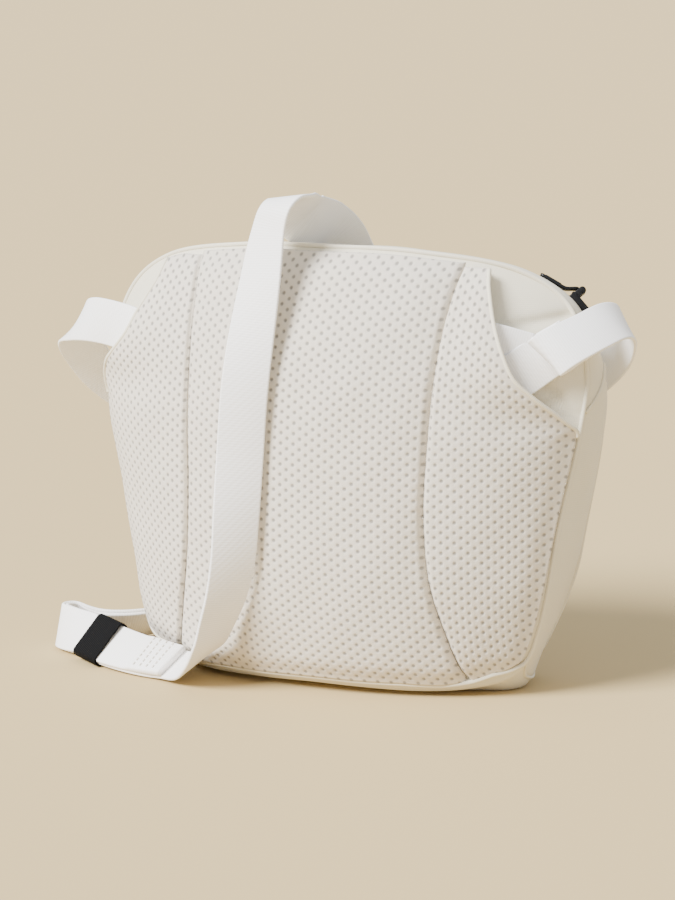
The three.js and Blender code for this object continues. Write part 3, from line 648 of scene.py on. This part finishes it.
def swollen(size, surface):
    """How far stuffing pushes a panel out: a cloth simulation of a coarse copy, pinned at its edges."""
    columns, rows = size
    copy = cloth_grid("panel_copy", size, surface, lambda u, v: np.stack([u, v], axis=1), mesh_cloth)
    mesh = copy.data
    spot = np.empty((len(mesh.vertices), 2))
    spot[corners(mesh)] = read(mesh.uv_layers[0].data, "uv", 2)
    edge = np.abs(spot - 0.5).max(axis=1) > 0.499
    pins = copy.vertex_groups.new(name="sewn_edge")
    pins.add(np.flatnonzero(edge).tolist(), 1.0, "REPLACE")
    settings = copy.modifiers.new("cloth", "CLOTH").settings
    settings.vertex_group_mass = pins.name
    settings.use_pressure = True
    settings.uniform_pressure_force = SWELL_PRESSURE
    settings.effector_weights.gravity = 0
    before = read(mesh.vertices, "co", 3)
    for step in range(1, SWELL_FRAMES + 1):
        bpy.context.scene.frame_set(step)
    swelled = copy.evaluated_get(bpy.context.evaluated_depsgraph_get())
    after = read(swelled.data.vertices, "co", 3)
    bpy.context.scene.frame_set(1)
    push = np.linalg.norm(after - before, axis=1) / MM
    push = SWELL_LIMIT * np.tanh(push / SWELL_LIMIT)
    table = np.zeros((columns + 1, rows + 1))
    table[np.rint(spot[:, 0] * columns).astype(int), np.rint(spot[:, 1] * rows).astype(int)] = push
    bpy.data.objects.remove(copy)
    bpy.data.meshes.remove(mesh)

    def push_at(u, v):
        i = np.clip((u * columns).astype(int), 0, columns - 1)
        j = np.clip((v * rows).astype(int), 0, rows - 1)
        a, b = u * columns - i, v * rows - j
        low = between(table[i, j], table[i + 1, j], a)
        high = between(table[i, j + 1], table[i + 1, j + 1], a)
        return between(low, high, b)
    return push_at


def pad_piece(node, size, surface, measure):
    pad = cloth_grid("mesh_" + node, size, surface, measure, mesh_cloth)
    thickened(pad, PAD_COVER)
    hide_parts(node)
    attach(pad, "pack")


def wing_piece(side, node):
    """One wing. Its share across runs outwards on the right, and inwards on the left."""
    def outwards(u):
        return u if side > 0 else 1 - u

    swell = swollen(WING_COARSE, lambda u, v: wing_surface(outwards(u), v, side, holes=0))

    def surface(u, v):
        return wing_surface(outwards(u), v, side, swell(u, v))

    def measure(u, v):
        x, z = wing_place(outwards(u), v, side)[:2]
        return cloth_place(side * x, z)

    pad_piece(node, WING_GRID, surface, measure)


centre_swell = swollen(CENTRE_COARSE, lambda u, v: centre_surface(u, v, holes=0))
pad_piece(
    "pad_centre", CENTRE_GRID,
    lambda u, v: centre_surface(u, v, centre_swell(u, v)),
    lambda u, v: cloth_place(*centre_place(u, v)[:2]),
)
wing_piece(-1, "pad_wing_left")
wing_piece(1, "pad_wing_right")

# Hip strap: 20 mm white webbing, from the left wing to the clasp, and from the right wing over the bag and
# down its back to the clasp. A short tab lies beside it under each wing. Each row of a route is a point
# on the strap's middle and the way across it there.
STRAP_WIDE, STRAP_THICK, STRAP_EDGE, STRAP_CUP = 20, 1.6, 0.7, 0.25
STRAP_STEPS = 10
LEFT_ROUTE = [
    (-80, -25, 147, 0.35, 0.2, 0.92), (-98, -17.5, 150.7, 0.45, 0.05, 0.88),
    (-117.5, -10.5, 152, 0.5, 0, 0.86), (-131, 2.5, 147.5, 0.6, -0.15, 0.77),
    (-136.5, 18, 135, 0.6, -0.3, 0.74), (-133, 34, 119.3, 0.45, -0.3, 0.84),
    (-121.5, 48, 107, 0.5, -0.1, 0.85), (-106, 56, 101, 0.62, 0.2, 0.75),
    (-92, 61, 94, 0.45, 0.6, 0.6), (-80, 63, 84.5, 0.2, 0.95, 0.3), (-69.8, 63, 74.4, 0, 1, 0),
]
FOLDED_ROOT = [  # out of the right wing along the bag, back towards the wearer, and round its fold
    (76, -26, 133, -0.52, -0.1, 0.85), (87.5, -20.5, 139.6, -0.52, -0.16, 0.84),
    (98, -12, 148, -0.6, -0.1, 0.79), (106, -9.5, 153, -0.7, 0.05, 0.71),
    (109.5, -12, 155, -0.75, 0.1, 0.65), (107.5, -17, 153, -0.77, 0.08, 0.63),
    (104.4, -19.6, 150.6, -0.78, 0.03, 0.63), (101.6, -22, 148.8, -0.78, 0.02, 0.63),
    (103, -25, 149.8, -0.78, 0.03, 0.63),
]
LOOP_ROUTE = [  # round the right side, up behind the bag, over its top and down its back
    (108, -22.6, 153.4, -0.76, 0.08, 0.63), (116.5, -11, 158.5, -0.75, 0.2, 0.62),
    (121.5, 5, 161.3, -0.7, 0.3, 0.66), (121.5, 22, 157.6, -0.55, 0.35, 0.76),
    (115.8, 36, 147.7, -0.4, 0.2, 0.9), (105.5, 47, 137.5, -0.3, 0.1, 0.95),
    (88, 54.5, 125, -0.2, 0, 0.97), (64, 59, 115.5, 0, 0, 1), (40, 58, 118.5, 0.35, 0, 0.93),
    (19, 53, 136, 0.6, 0, 0.8), (2, 46.5, 160, 0.75, 0, 0.66), (-10.3, 40, 179, 0.79, 0, 0.61),
    (-10.7, 26, 189, 0.72, 0, 0.69), (-10.6, 9, 195.4, 0.42, 0, 0.91), (-13.9, -8, 201, 0.58, 0.2, 0.78),
    (-13.7, -18, 207.4, 0.8, 0.05, 0.53), (-14.3, -26.5, 210.7, 0.89, -0.4, 0.13),
    (-16.2, -33, 207.4, 0.88, -0.47, 0.01), (-18.4, -36, 197.5, 0.91, -0.4, -0.02),
    (-18.9, -43.5, 177, 0.97, -0.14, -0.02), (-20.5, -55.5, 136.5, 0.94, 0.33, 0),
    (-21.8, -59, 102.5, 0.9, 0.42, 0), (-22.6, -61.5, 78, 0.82, 0.57, 0),
    (-24.1, -61.5, 60.3, 0.74, 0.67, -0.05), (-28.1, -60, 44, 0.6, 0.79, -0.1),
    (-33.6, -57.6, 30.9, 0.43, 0.89, -0.1), (-38.6, -55, 20.6, 0.25, 0.96, -0.1),
    (-45.4, -50.5, 12.8, 0.05, 0.99, 0.05), (-54.5, -43.5, 6.8, 0.12, 0.93, 0.33),
]
FLOOR_ROUTE = [  # along the floor round the left side, and up to the clasp behind the bag
    (-65, -38.5, 5.7, 0.2, 0.87, 0.43), (-80, -36, 6.8, 0.23, 0.78, 0.57),
    (-96, -31, 8.3, 0.27, 0.67, 0.69), (-107, -24.8, 9.2, 0.32, 0.58, 0.75),
    (-117, -18, 9.5, 0.33, 0.5, 0.8), (-126.5, -13.6, 9.7, 0.27, 0.33, 0.9),
    (-133.8, -9, 10.3, 0.17, 0.05, 0.98), (-133.4, -1, 10, 0.15, -0.35, 0.92),
    (-126, 4.5, 8.7, 0.1, -0.64, 0.76), (-115.5, 8.5, 8.1, 0.15, -0.7, 0.7),
    (-106.5, 15.5, 8.1, 0.4, -0.6, 0.7), (-100, 27, 8.1, 0.6, -0.4, 0.7),
    (-94, 39.5, 7.5, 0.6, -0.45, 0.66), (-83, 52, 5.5, 0.42, -0.8, 0.42),
    (-69.5, 60, 3.1, 0.15, -0.97, 0.2), (-56, 63, 1.6, 0, -1, 0), (-43, 63, 4.2, 0, -1, 0),
    (-30.5, 63, 12.5, 0, -1, 0), (-24.5, 63, 23, 0, -1, 0), (-28.5, 63, 33, 0, -1, 0),
    (-38, 63, 42.5, 0, -1, 0),
]
RIGHT_ROUTE = FOLDED_ROOT + LOOP_ROUTE + FLOOR_ROUTE
ARCH_ROWS = len(FOLDED_ROOT) + np.arange(11, 18)
ARCH_WIDER = (1, 1.12, 1.24, 1.24, 1.02, 1, 1)  # for the width that the twist over the top takes away
TAB_ROUTE = [
    (66, -27.5, 155, 0.2, 0.25, 0.95), (78, -22.6, 151.8, 0.22, 0.25, 0.95),
    (91.5, -15, 147.2, 0.25, 0.3, 0.92),
]
LEFT_TAB_LOWER = 5

# Polyester webbing, woven tight: a clean matt white with fine ribs across it and a faint twill, the grooves
# between the ribs painted a little darker as painted shade. The 0.5 mm ribs are drawn 1.1 mm wide to show.
RIB_MM, TWILL_MM = 1.1, 1.6
webbing, tree, shader = new_material("white_polyester_webbing", "#f6f5f4", 0.62, sheen=0.2)
cloth = add(tree, "ShaderNodeUVMap", uv_map="UVMap")
ribs = bands(tree, cloth, RIB_MM, "X", Distortion=0.4, Detail=1.0)
twill = bands(tree, cloth, TWILL_MM, "DIAGONAL")
weave = add(tree, "ShaderNodeMath", {0: ribs, 1: twill}, operation="ADD")
# Painted shade: the low grooves between the ribs take the darker of the two whites.
tone = mixed(tree, ribs, linear("#f2f0ee"), linear("#fbfaf9"))
dress(tree, shader, weave, strength=0.18, depth=0.0002, tone=tone)


def rounded(width, thick, radius, steps=4):
    """A rectangle with round corners, as points round it."""
    turn = np.linspace(0, math.pi / 2, steps)
    arc = radius * np.stack([np.cos(turn), np.sin(turn)], axis=1)
    corner = np.array([width / 2 - radius, thick / 2 - radius])
    quarter = [(1, 1), (-1, 1), (-1, -1), (1, -1)]
    sides = [(arc if sx * sy > 0 else arc[::-1]) * (sx, sy) + corner * (sx, sy) for sx, sy in quarter]
    return np.vstack(sides)


def square_to(along, across):
    """The way across, made square to the way along."""
    return unit(across - along * np.sum(across * along, axis=-1, keepdims=True))


def swept(name, path, across, profile, material, closed=False):
    """A piece swept along a path. profile gives points across it and off its face, by row or for all."""
    along = unit(np.gradient(path, axis=0))
    if closed:
        along = unit(np.roll(path, -1, axis=0) - np.roll(path, 1, axis=0))
    across = square_to(along, across)
    face = np.cross(along, across)
    profile = np.broadcast_to(profile, (len(path),) + profile.shape[-2:])
    run = np.append(run_length(path), run_length(path)[-1] + np.linalg.norm(path[0] - path[-1]))
    columns = len(path) if closed else len(path) - 1
    around = profile.shape[1]

    def surface(u, v):
        i, j = np.rint(u * columns).astype(int) % len(path), np.rint(v * around).astype(int) % around
        spot = profile[i, j]
        return path[i] + across[i] * spot[:, :1] + face[i] * spot[:, 1:]

    def measure(u, v):
        i, j = np.rint(u * columns).astype(int), np.rint(v * around).astype(int) % around
        return np.stack([run[i], profile[i % len(path), j, 0]], axis=1)

    piece = cloth_grid(name, (columns, around), surface, measure, material)
    net = bmesh.new()
    net.from_mesh(piece.data)
    bmesh.ops.remove_doubles(net, verts=net.verts, dist=1e-7)
    bmesh.ops.holes_fill(net, edges=[e for e in net.edges if e.is_boundary], sides=0)
    bmesh.ops.recalc_face_normals(net, faces=net.faces)
    net.to_mesh(piece.data)
    net.free()
    return piece


def strap_rows(route):
    """The strap's middle, and the ways along it, across it and off its face, along a route."""
    rows = np.asarray(route, float)
    path = smooth_through(rows[:, :3], steps=STRAP_STEPS)
    along = unit(np.gradient(path, axis=0))
    across = square_to(along, smooth_through(rows[:, 3:], steps=STRAP_STEPS))
    return path, along, across, np.cross(along, across)


def row_numbers(route):
    return np.arange((len(route) - 1) * STRAP_STEPS + 1) / STRAP_STEPS


def strap_piece(name, node, route, lift=0.0, thick=STRAP_THICK, wide=1.0):
    """A strap along a route, with its rows lifted off their face, thickened or widened where given."""
    path, _, across, _ = strap_rows(route)
    layers = np.repeat(rounded(STRAP_WIDE, STRAP_THICK, STRAP_EDGE)[None], len(path), axis=0)
    layers[..., 1] += STRAP_CUP * (layers[..., 0] / (STRAP_WIDE / 2)) ** 2
    layers[..., 0] *= np.reshape(wide, (-1, 1))
    layers[..., 1] *= np.reshape(thick, (-1, 1)) / STRAP_THICK
    layers[..., 1] += np.reshape(lift, (-1, 1))
    piece = swept(name, path, across, layers, webbing)
    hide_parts(node)
    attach(piece, "pack")


left_tab_route = [(-x, y, z - LEFT_TAB_LOWER, -ax, ay, az) for x, y, z, ax, ay, az in TAB_ROUTE]
strap_piece("webbing_tab_right", "anchor_tab_right", TAB_ROUTE)
strap_piece("webbing_tab_left", "anchor_tab_left", left_tab_route)
strap_piece("webbing_strap_left", "strap_left", LEFT_ROUTE)
arch_spread = np.interp(row_numbers(RIGHT_ROUTE), ARCH_ROWS, ARCH_WIDER)
strap_piece("webbing_strap_right", "strap_right", RIGHT_ROUTE, wide=arch_spread)

# Loose end of the strap, laid against it on the floor: its end is folded over and sewn down with four
# rows of stitches, each a small raised bead of pale thread.
TAIL_END = (-63.5, -39.4, 5.6, 0.2, 0.88, 0.42)
HEM_LONG, HEM_STEP, HEM_THICK, LAYER_GAP = 1.0, 0.2, 2.9, 0.2
HEM_STITCH_ROWS = (0.2, 0.4, 0.6, 0.8)
STITCH_HALF, STITCH_PITCH, STITCH_RUN, STITCH_LIFT = (1.0, 0.3, 0.18), 2.6, 17, 0.05
tail_route = [TAIL_END] + FLOOR_ROUTE[1:]
hem_end = smoothstep(row_numbers(tail_route), HEM_LONG, HEM_LONG + HEM_STEP)
tail_thick = between(HEM_THICK, STRAP_THICK, hem_end)
tail_lift = -(STRAP_THICK / 2 + LAYER_GAP + tail_thick / 2)
strap_piece("webbing_tail", "strap_tail", tail_route, tail_lift, tail_thick)
thread = new_material("ivory_polyester_thread", "#e6e0d3", 0.55)[0]


def frame_matrix(origin, x_axis, y_axis, z_axis):
    turn = Matrix(np.stack([x_axis, y_axis, z_axis], axis=1).tolist()).to_4x4()
    return Matrix.Translation(Vector(np.asarray(origin) * MM)) @ turn


def sized(lengths):
    return Matrix.Diagonal((lengths[0] * MM, lengths[1] * MM, lengths[2] * MM, 1))


def stitches(name, middle, way, out):
    """A row of stitches across the hem, each a flattened bead that lies along it on the face."""
    net = bmesh.new()
    for spot in np.arange(STITCH_PITCH / 2, STITCH_RUN, STITCH_PITCH):
        place = frame_matrix(middle + way * (spot - STITCH_RUN / 2), way, np.cross(out, way), out)
        bmesh.ops.create_icosphere(net, subdivisions=2, radius=1, matrix=place @ sized(STITCH_HALF))
    row = as_object(name, net, thread)
    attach(row, "pack")


tail_path, _, tail_across, tail_face = strap_rows(tail_route)
for number, share in enumerate(HEM_STITCH_ROWS):
    row = int(round(share * STRAP_STEPS)) + 1
    top = tail_path[row] + tail_face[row] * (tail_lift[row] - tail_thick[row] / 2 - STITCH_LIFT)
    stitches(f"hem_stitches_{number + 1}", top, tail_across[row], -tail_face[row])

# Keeper: a flat band of black elastic sewn round the strap and its loose end. Woven elastic is matt,
# with fine ribs round the band, drawn 1.2 mm wide to show.
KEEPER_ROW = 2.95
KEEPER_LONG, KEEPER_THICK, KEEPER_ROOM, KEEPER_BEND, KEEPER_EDGE = 19, 0.9, 0.25, 1.9, 0.4
BEND_STEPS, SIDE_STEPS = 8, 6
ELASTIC_RIB_MM = 1.2
elastic, tree, shader = new_material("black_ribbed_elastic", "#0b0b0c", 0.8, specular=0.08)
cloth = add(tree, "ShaderNodeUVMap", uv_map="UVMap")
dress(tree, shader, bands(tree, cloth, ELASTIC_RIB_MM, "Y"), strength=0.5, depth=0.0003)

row = int(KEEPER_ROW * STRAP_STEPS)
keeper_at, keeper_along, keeper_side, keeper_face = (rows[row] for rows in strap_rows(FLOOR_ROUTE))
ring_wall = 2 * KEEPER_ROOM + KEEPER_THICK
ring = rounded(STRAP_WIDE + ring_wall, 2 * STRAP_THICK + LAYER_GAP + ring_wall, KEEPER_BEND, BEND_STEPS)
sides = zip(ring, np.roll(ring, -1, axis=0))
ring = np.vstack([np.linspace(a, b, SIDE_STEPS, endpoint=False) for a, b in sides])
ring_off = ring[:, 1:] - (STRAP_THICK + LAYER_GAP) / 2
ring_path = keeper_at + ring[:, :1] * keeper_side + ring_off * keeper_face
keeper = swept(
    "elastic_keeper", ring_path, np.repeat(keeper_along[None], len(ring), axis=0),
    rounded(KEEPER_LONG, KEEPER_THICK, KEEPER_EDGE), elastic, closed=True,
)
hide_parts("strap_keeper")
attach(keeper, "pack")

# Clasp: the hidden fastened clasp, one plain moulded piece in line with the two strap ends. Moulded
# acetal is black with a satin sheen, broken up by a fine grain.
CLASP_SIZE, CLASP_CORNER, CLASP_EDGE, CLASP_GAP = (30, 44, 9), 5, 1.2, 0.3
GRAIN_MM = 1.11
LEVEL = 1e-7
plastic, tree, shader = new_material("black_acetal_plastic", "#0a0a0b", 0.4, specular=0.25)
solid = add(tree, "ShaderNodeTexCoord", out="Object")
grain = add(tree, "ShaderNodeTexNoise", {"Vector": solid, "Scale": 1 / (GRAIN_MM * MM), "Detail": 2.0})
dress(tree, shader, grain, strength=0.1, depth=0.0001)


def edges_of(verts):
    """The edges at these vertices, each once and always in the same order."""
    return list(dict.fromkeys(e for v in verts for e in v.link_edges))


def rise(edge):
    return abs(edge.verts[0].co.z - edge.verts[1].co.z)


def block(net, size, corner, edge, matrix, taper=1.0):
    """A box with round corners in its plan and eased edges, added to the net."""
    made = bmesh.ops.create_cube(net, size=1, matrix=sized(size))["verts"]
    for vert in made:
        if vert.co.x < 0:
            vert.co.y *= taper
    for upright, radius, segments in ((True, corner, 5), (False, edge, 3)):
        chosen = [e for e in edges_of(made) if (rise(e) > size[2] * MM / 2 if upright else rise(e) < LEVEL)]
        eased = bmesh.ops.bevel(
            net, geom=chosen, offset=radius * MM, segments=segments, profile=0.5, affect="EDGES",
            material=-1, clamp_overlap=True,
        )
        made = list(dict.fromkeys([v for v in made if v.is_valid] + eased["verts"]))
    bmesh.ops.transform(net, matrix=matrix, verts=made)


def hard_piece(node, net, body):
    bmesh.ops.recalc_face_normals(net, faces=net.faces)
    piece = as_object("plastic_" + node, net, plastic)
    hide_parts(node)
    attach(piece, body)


end_at, end_along, end_across, _ = (rows[-1] for rows in strap_rows(RIGHT_ROUTE))
clasp_middle = end_at + end_along * (CLASP_GAP + CLASP_SIZE[1] / 2)
clasp_frame = frame_matrix(clasp_middle, end_across, end_along, np.cross(end_across, end_along))
net = bmesh.new()
block(net, CLASP_SIZE, CLASP_CORNER, CLASP_EDGE, clasp_frame)
hard_piece("clasp", net, "pack")

# Zip slider and pull: black moulded pieces on the right shoulder. The slider straddles the coil, and
# the pull turns on the pin between its ears. A step in the pull lets it lie along the coil.
PIN_AT = np.array([102.402, 20.191, 171.613])  # the joint's place and axis in the record
PIN_AXIS = np.array([0.36278, -0.89142, 0.27159])
PIN_X, PIN_Z, PIN_RADIUS = 3.9, 6.0, 0.8
SLIDER_Z, COIL_STEP, DEPTH_STEP = 169, 0.004, 0.01
PLATE, PLATE_CORNER, PLATE_EDGE, PLATE_Z, PLATE_TAPER = (12, 9, 1.6), 2.2, 0.6, 2.3, 0.78
FLANGE, FLANGE_CORNER, FLANGE_EDGE = (10, 1.1, 2.4), 0.4, 0.3
FLANGE_X, FLANGE_SHIFT, FLANGE_Z = 0.6, 3.8, 1.2
EAR_RADIUS, EAR_WALL, EAR_SHIFT = 1.5, 0.9, 3.25
STEM, STEM_CORNER, STEM_EDGE, STEM_Z = (3.0, EAR_WALL, 3.4), 0.3, 0.2, 4.3
DRUM_EDGE = 0.15
PULL_LONG, PULL_WIDE, PULL_THICK, PULL_CORNER, PULL_EDGE = 19, 5, 1.5, 1.6, 0.5
PULL_EYE, PULL_BORE, EYE_POINTS, EYE_EDGE, EYE_JOIN = 1.65, 1.1, 28, 0.3, 0.3
GRIP, GRIP_CORNER, GRIP_EDGE, GRIP_FROM_END, GRIP_LIFT = (8, 3.0, 0.5), 1.2, 0.2, 6, 0.1
PULL_DROOP = math.radians(26)
PULL_JOG, PULL_JOG_END, PULL_RISE = 1.9, 8.0, 0.125
JOG_CUTS = np.arange(2.0, 8.5, 0.75)


def coil_frame(place):
    """Origin and axes on the zip: along it, across it and away from the bag."""
    along = unit(gusset(place + COIL_STEP, 0.5) - gusset(place - COIL_STEP, 0.5))
    over = gusset(place, 0.5 + DEPTH_STEP) - gusset(place, 0.5 - DEPTH_STEP)
    out = unit(np.cross(over, along))
    return gusset(place, 0.5), along, np.cross(out, along), out


def moved(x, y, z):
    return Matrix.Translation((x * MM, y * MM, z * MM))


def drum(net, radius, width, matrix):
    """A round bar across the zip with eased ends."""
    made = bmesh.ops.create_cone(
        net, cap_ends=True, segments=24, radius1=radius * MM, radius2=radius * MM, depth=width * MM,
        matrix=matrix @ Matrix.Rotation(math.pi / 2, 4, "X"),
    )["verts"]
    rims = [e for e in edges_of(made) if any(len(f.verts) > 4 for f in e.link_faces)]
    bmesh.ops.bevel(
        net, geom=rims, offset=DRUM_EDGE * MM, segments=2, profile=0.5, affect="EDGES", material=-1
    )


zip_across = unit(PIN_AXIS)
zip_out = square_to(zip_across, coil_frame(np.float64(rim_place(SLIDER_Z)))[3])
zip_along = np.cross(zip_across, zip_out)
slider_frame = frame_matrix(PIN_AT - PIN_X * zip_along - PIN_Z * zip_out, zip_along, zip_across, zip_out)
net = bmesh.new()
block(net, PLATE, PLATE_CORNER, PLATE_EDGE, slider_frame @ moved(0, 0, PLATE_Z), PLATE_TAPER)
for side in (-1, 1):
    flange_frame = slider_frame @ moved(FLANGE_X, side * FLANGE_SHIFT, FLANGE_Z)
    block(net, FLANGE, FLANGE_CORNER, FLANGE_EDGE, flange_frame)
    drum(net, EAR_RADIUS, EAR_WALL, slider_frame @ moved(PIN_X, side * EAR_SHIFT, PIN_Z))
    block(net, STEM, STEM_CORNER, STEM_EDGE, slider_frame @ moved(PIN_X, side * EAR_SHIFT, STEM_Z))
drum(net, PIN_RADIUS, 2 * EAR_SHIFT, slider_frame @ moved(PIN_X, 0, PIN_Z))
hard_piece("zip_slider", net, "pack")

pull_frame = slider_frame @ moved(PIN_X, 0, PIN_Z) @ Matrix.Rotation(PULL_DROOP, 4, "Y")
net = bmesh.new()
tab_long = PULL_LONG - PULL_EYE + EYE_JOIN
tab_frame = pull_frame @ moved(PULL_EYE - EYE_JOIN + tab_long / 2, 0, 0)
block(net, (tab_long, PULL_WIDE, PULL_THICK), PULL_CORNER, PULL_EDGE, tab_frame)
grip_frame = pull_frame @ moved(PULL_LONG - GRIP_FROM_END, 0, PULL_THICK / 2 + GRIP_LIFT)
block(net, GRIP, GRIP_CORNER, GRIP_EDGE, grip_frame)
turn = np.linspace(0, 2 * math.pi, EYE_POINTS, endpoint=False)
middle = (PULL_EYE + PULL_BORE) / 2
eye_path = np.stack([middle * np.cos(turn), np.zeros(EYE_POINTS), middle * np.sin(turn)], axis=1)
eye = swept(
    "eye", eye_path, np.repeat([[0.0, 1.0, 0.0]], EYE_POINTS, axis=0),
    rounded(PULL_WIDE, PULL_EYE - PULL_BORE, EYE_EDGE), plastic, closed=True,
)
eye.data.transform(pull_frame)
net.from_mesh(eye.data)
eye_mesh = eye.data
bpy.data.objects.remove(eye)
bpy.data.meshes.remove(eye_mesh)
for cut in JOG_CUTS:
    bmesh.ops.bisect_plane(
        net, geom=net.verts[:] + net.edges[:] + net.faces[:],
        plane_co=pull_frame @ Vector((cut * MM, 0, 0)), plane_no=pull_frame.to_3x3() @ Vector((1, 0, 0)),
    )
upright = pull_frame.inverted()
for vert in net.verts:
    spot = upright @ vert.co
    x = spot.x / MM
    spot.z -= MM * smoothstep(x, PULL_EYE, PULL_JOG_END) * (PULL_JOG - PULL_RISE * (x - PULL_JOG_END))
    vert.co = pull_frame @ spot
hard_piece("zip_pull", net, "pull")

# Zip coil: a row of small moulded loops on each edge of the tape, meshed along the middle. Each loop
# is a flattened bead across the zip, turn about on one side and the other.
COIL_PITCH, COIL_HALF = 1.5, (0.62, 1.75, 0.8)
COIL_LIFT, COIL_SHIFT, COIL_END = 0.2, 0.9, 0.004
net = bmesh.new()
coil_places = np.arange(zip_end + COIL_END, 1 - zip_end - COIL_END, COIL_PITCH / 2 / RIM_LENGTH)
for number, place in enumerate(coil_places):
    origin, way, over, out = coil_frame(place)
    side = 1 if number % 2 else -1
    spot = frame_matrix(origin + out * COIL_LIFT + over * side * COIL_SHIFT, way, over, out)
    bmesh.ops.create_icosphere(net, subdivisions=2, radius=1, matrix=spot @ sized(COIL_HALF))
hard_piece("zip_coil", net, "pack")

# Piping and sewn ridges: the back and front seams turn out as narrow piped edges of nylon, and the
# seams of the gusset show as low ridges.
PIPING_POINTS, SEAM_POINTS = 420, 60
PIPINGS = (  # name, depth share, shift outwards and to the front, width and height
    ("back_piping", 0, 0.1, -0.7, 1.8, 2.0),
    ("front_piping", 1, 0.5, 0.7, 2.0, 2.6),
)
RIDGE_WIDE, RIDGE_HIGH = 1.6, 1.2
SEAM_LIFT, CORNER_LIFT = 0.35, 0.05
ROUND_GAP = 0.02
SIDES = ((1, "right"), (-1, "left"))


def ridge(name, path, out, width, high, closed=False):
    profile = rounded(high, width, min(width, high) / 2 - ROUND_GAP, steps=5)
    piece = swept(name, path, out, profile, nylon, closed)
    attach(piece, "pack")


def rim_out(place):
    along = rim_along(place)
    return np.stack([along[:, 1], np.zeros(len(along)), -along[:, 0]], axis=1)


loop = np.linspace(0, 1, PIPING_POINTS, endpoint=False)
for name, share, outwards, forwards, width, high in PIPINGS:
    path = gusset(loop, share) + outwards * rim_out(loop) + (0, forwards, 0)
    ridge(name, path, rim_out(loop), width, high, closed=True)
depth = np.linspace(0.01, 0.99, SEAM_POINTS)
seams = (
    ("side_seam", side_seam(depth), SEAM_LIFT), ("corner_seam", corner_seam(depth), CORNER_LIFT),
    ("zip_end_seam", np.full(SEAM_POINTS, zip_end), SEAM_LIFT),
)
for side, word in SIDES:
    for name, place, lift in seams:
        path = gusset(side * place, depth, lift)
        ridge(f"{name}_{word}", path, rim_out(side * place), RIDGE_WIDE, RIDGE_HIGH)

# Binding of the wings' free edges: a narrow nylon tape folded round the foam and sewn down, from just
# below each mouth to the top.
BINDING_POINTS, BINDING_WIDE, BINDING_HIGH = 90, 2.7, 1.8
BINDING_BELOW, BINDING_SHORT, BINDING_INNER = 4, 0.5, 0.94
BINDING_BACK, BINDING_IN = 1.0, 0.3
for side, word in SIDES:
    height = np.linspace(WING_MOUTH[side] - BINDING_BELOW, WING_TOP - BINDING_SHORT, BINDING_POINTS)
    v = (height - WING_CORNER) / (WING_TOP - WING_CORNER)
    edge = wing_surface(np.ones(BINDING_POINTS), v, side, holes=0)
    inner = wing_surface(np.full(BINDING_POINTS, BINDING_INNER), v, side, holes=0)
    path = edge + (0, BINDING_BACK, 0) - BINDING_IN * unit(edge - inner)
    ridge(f"wing_binding_{word}", path, edge - inner, BINDING_WIDE, BINDING_HIGH)
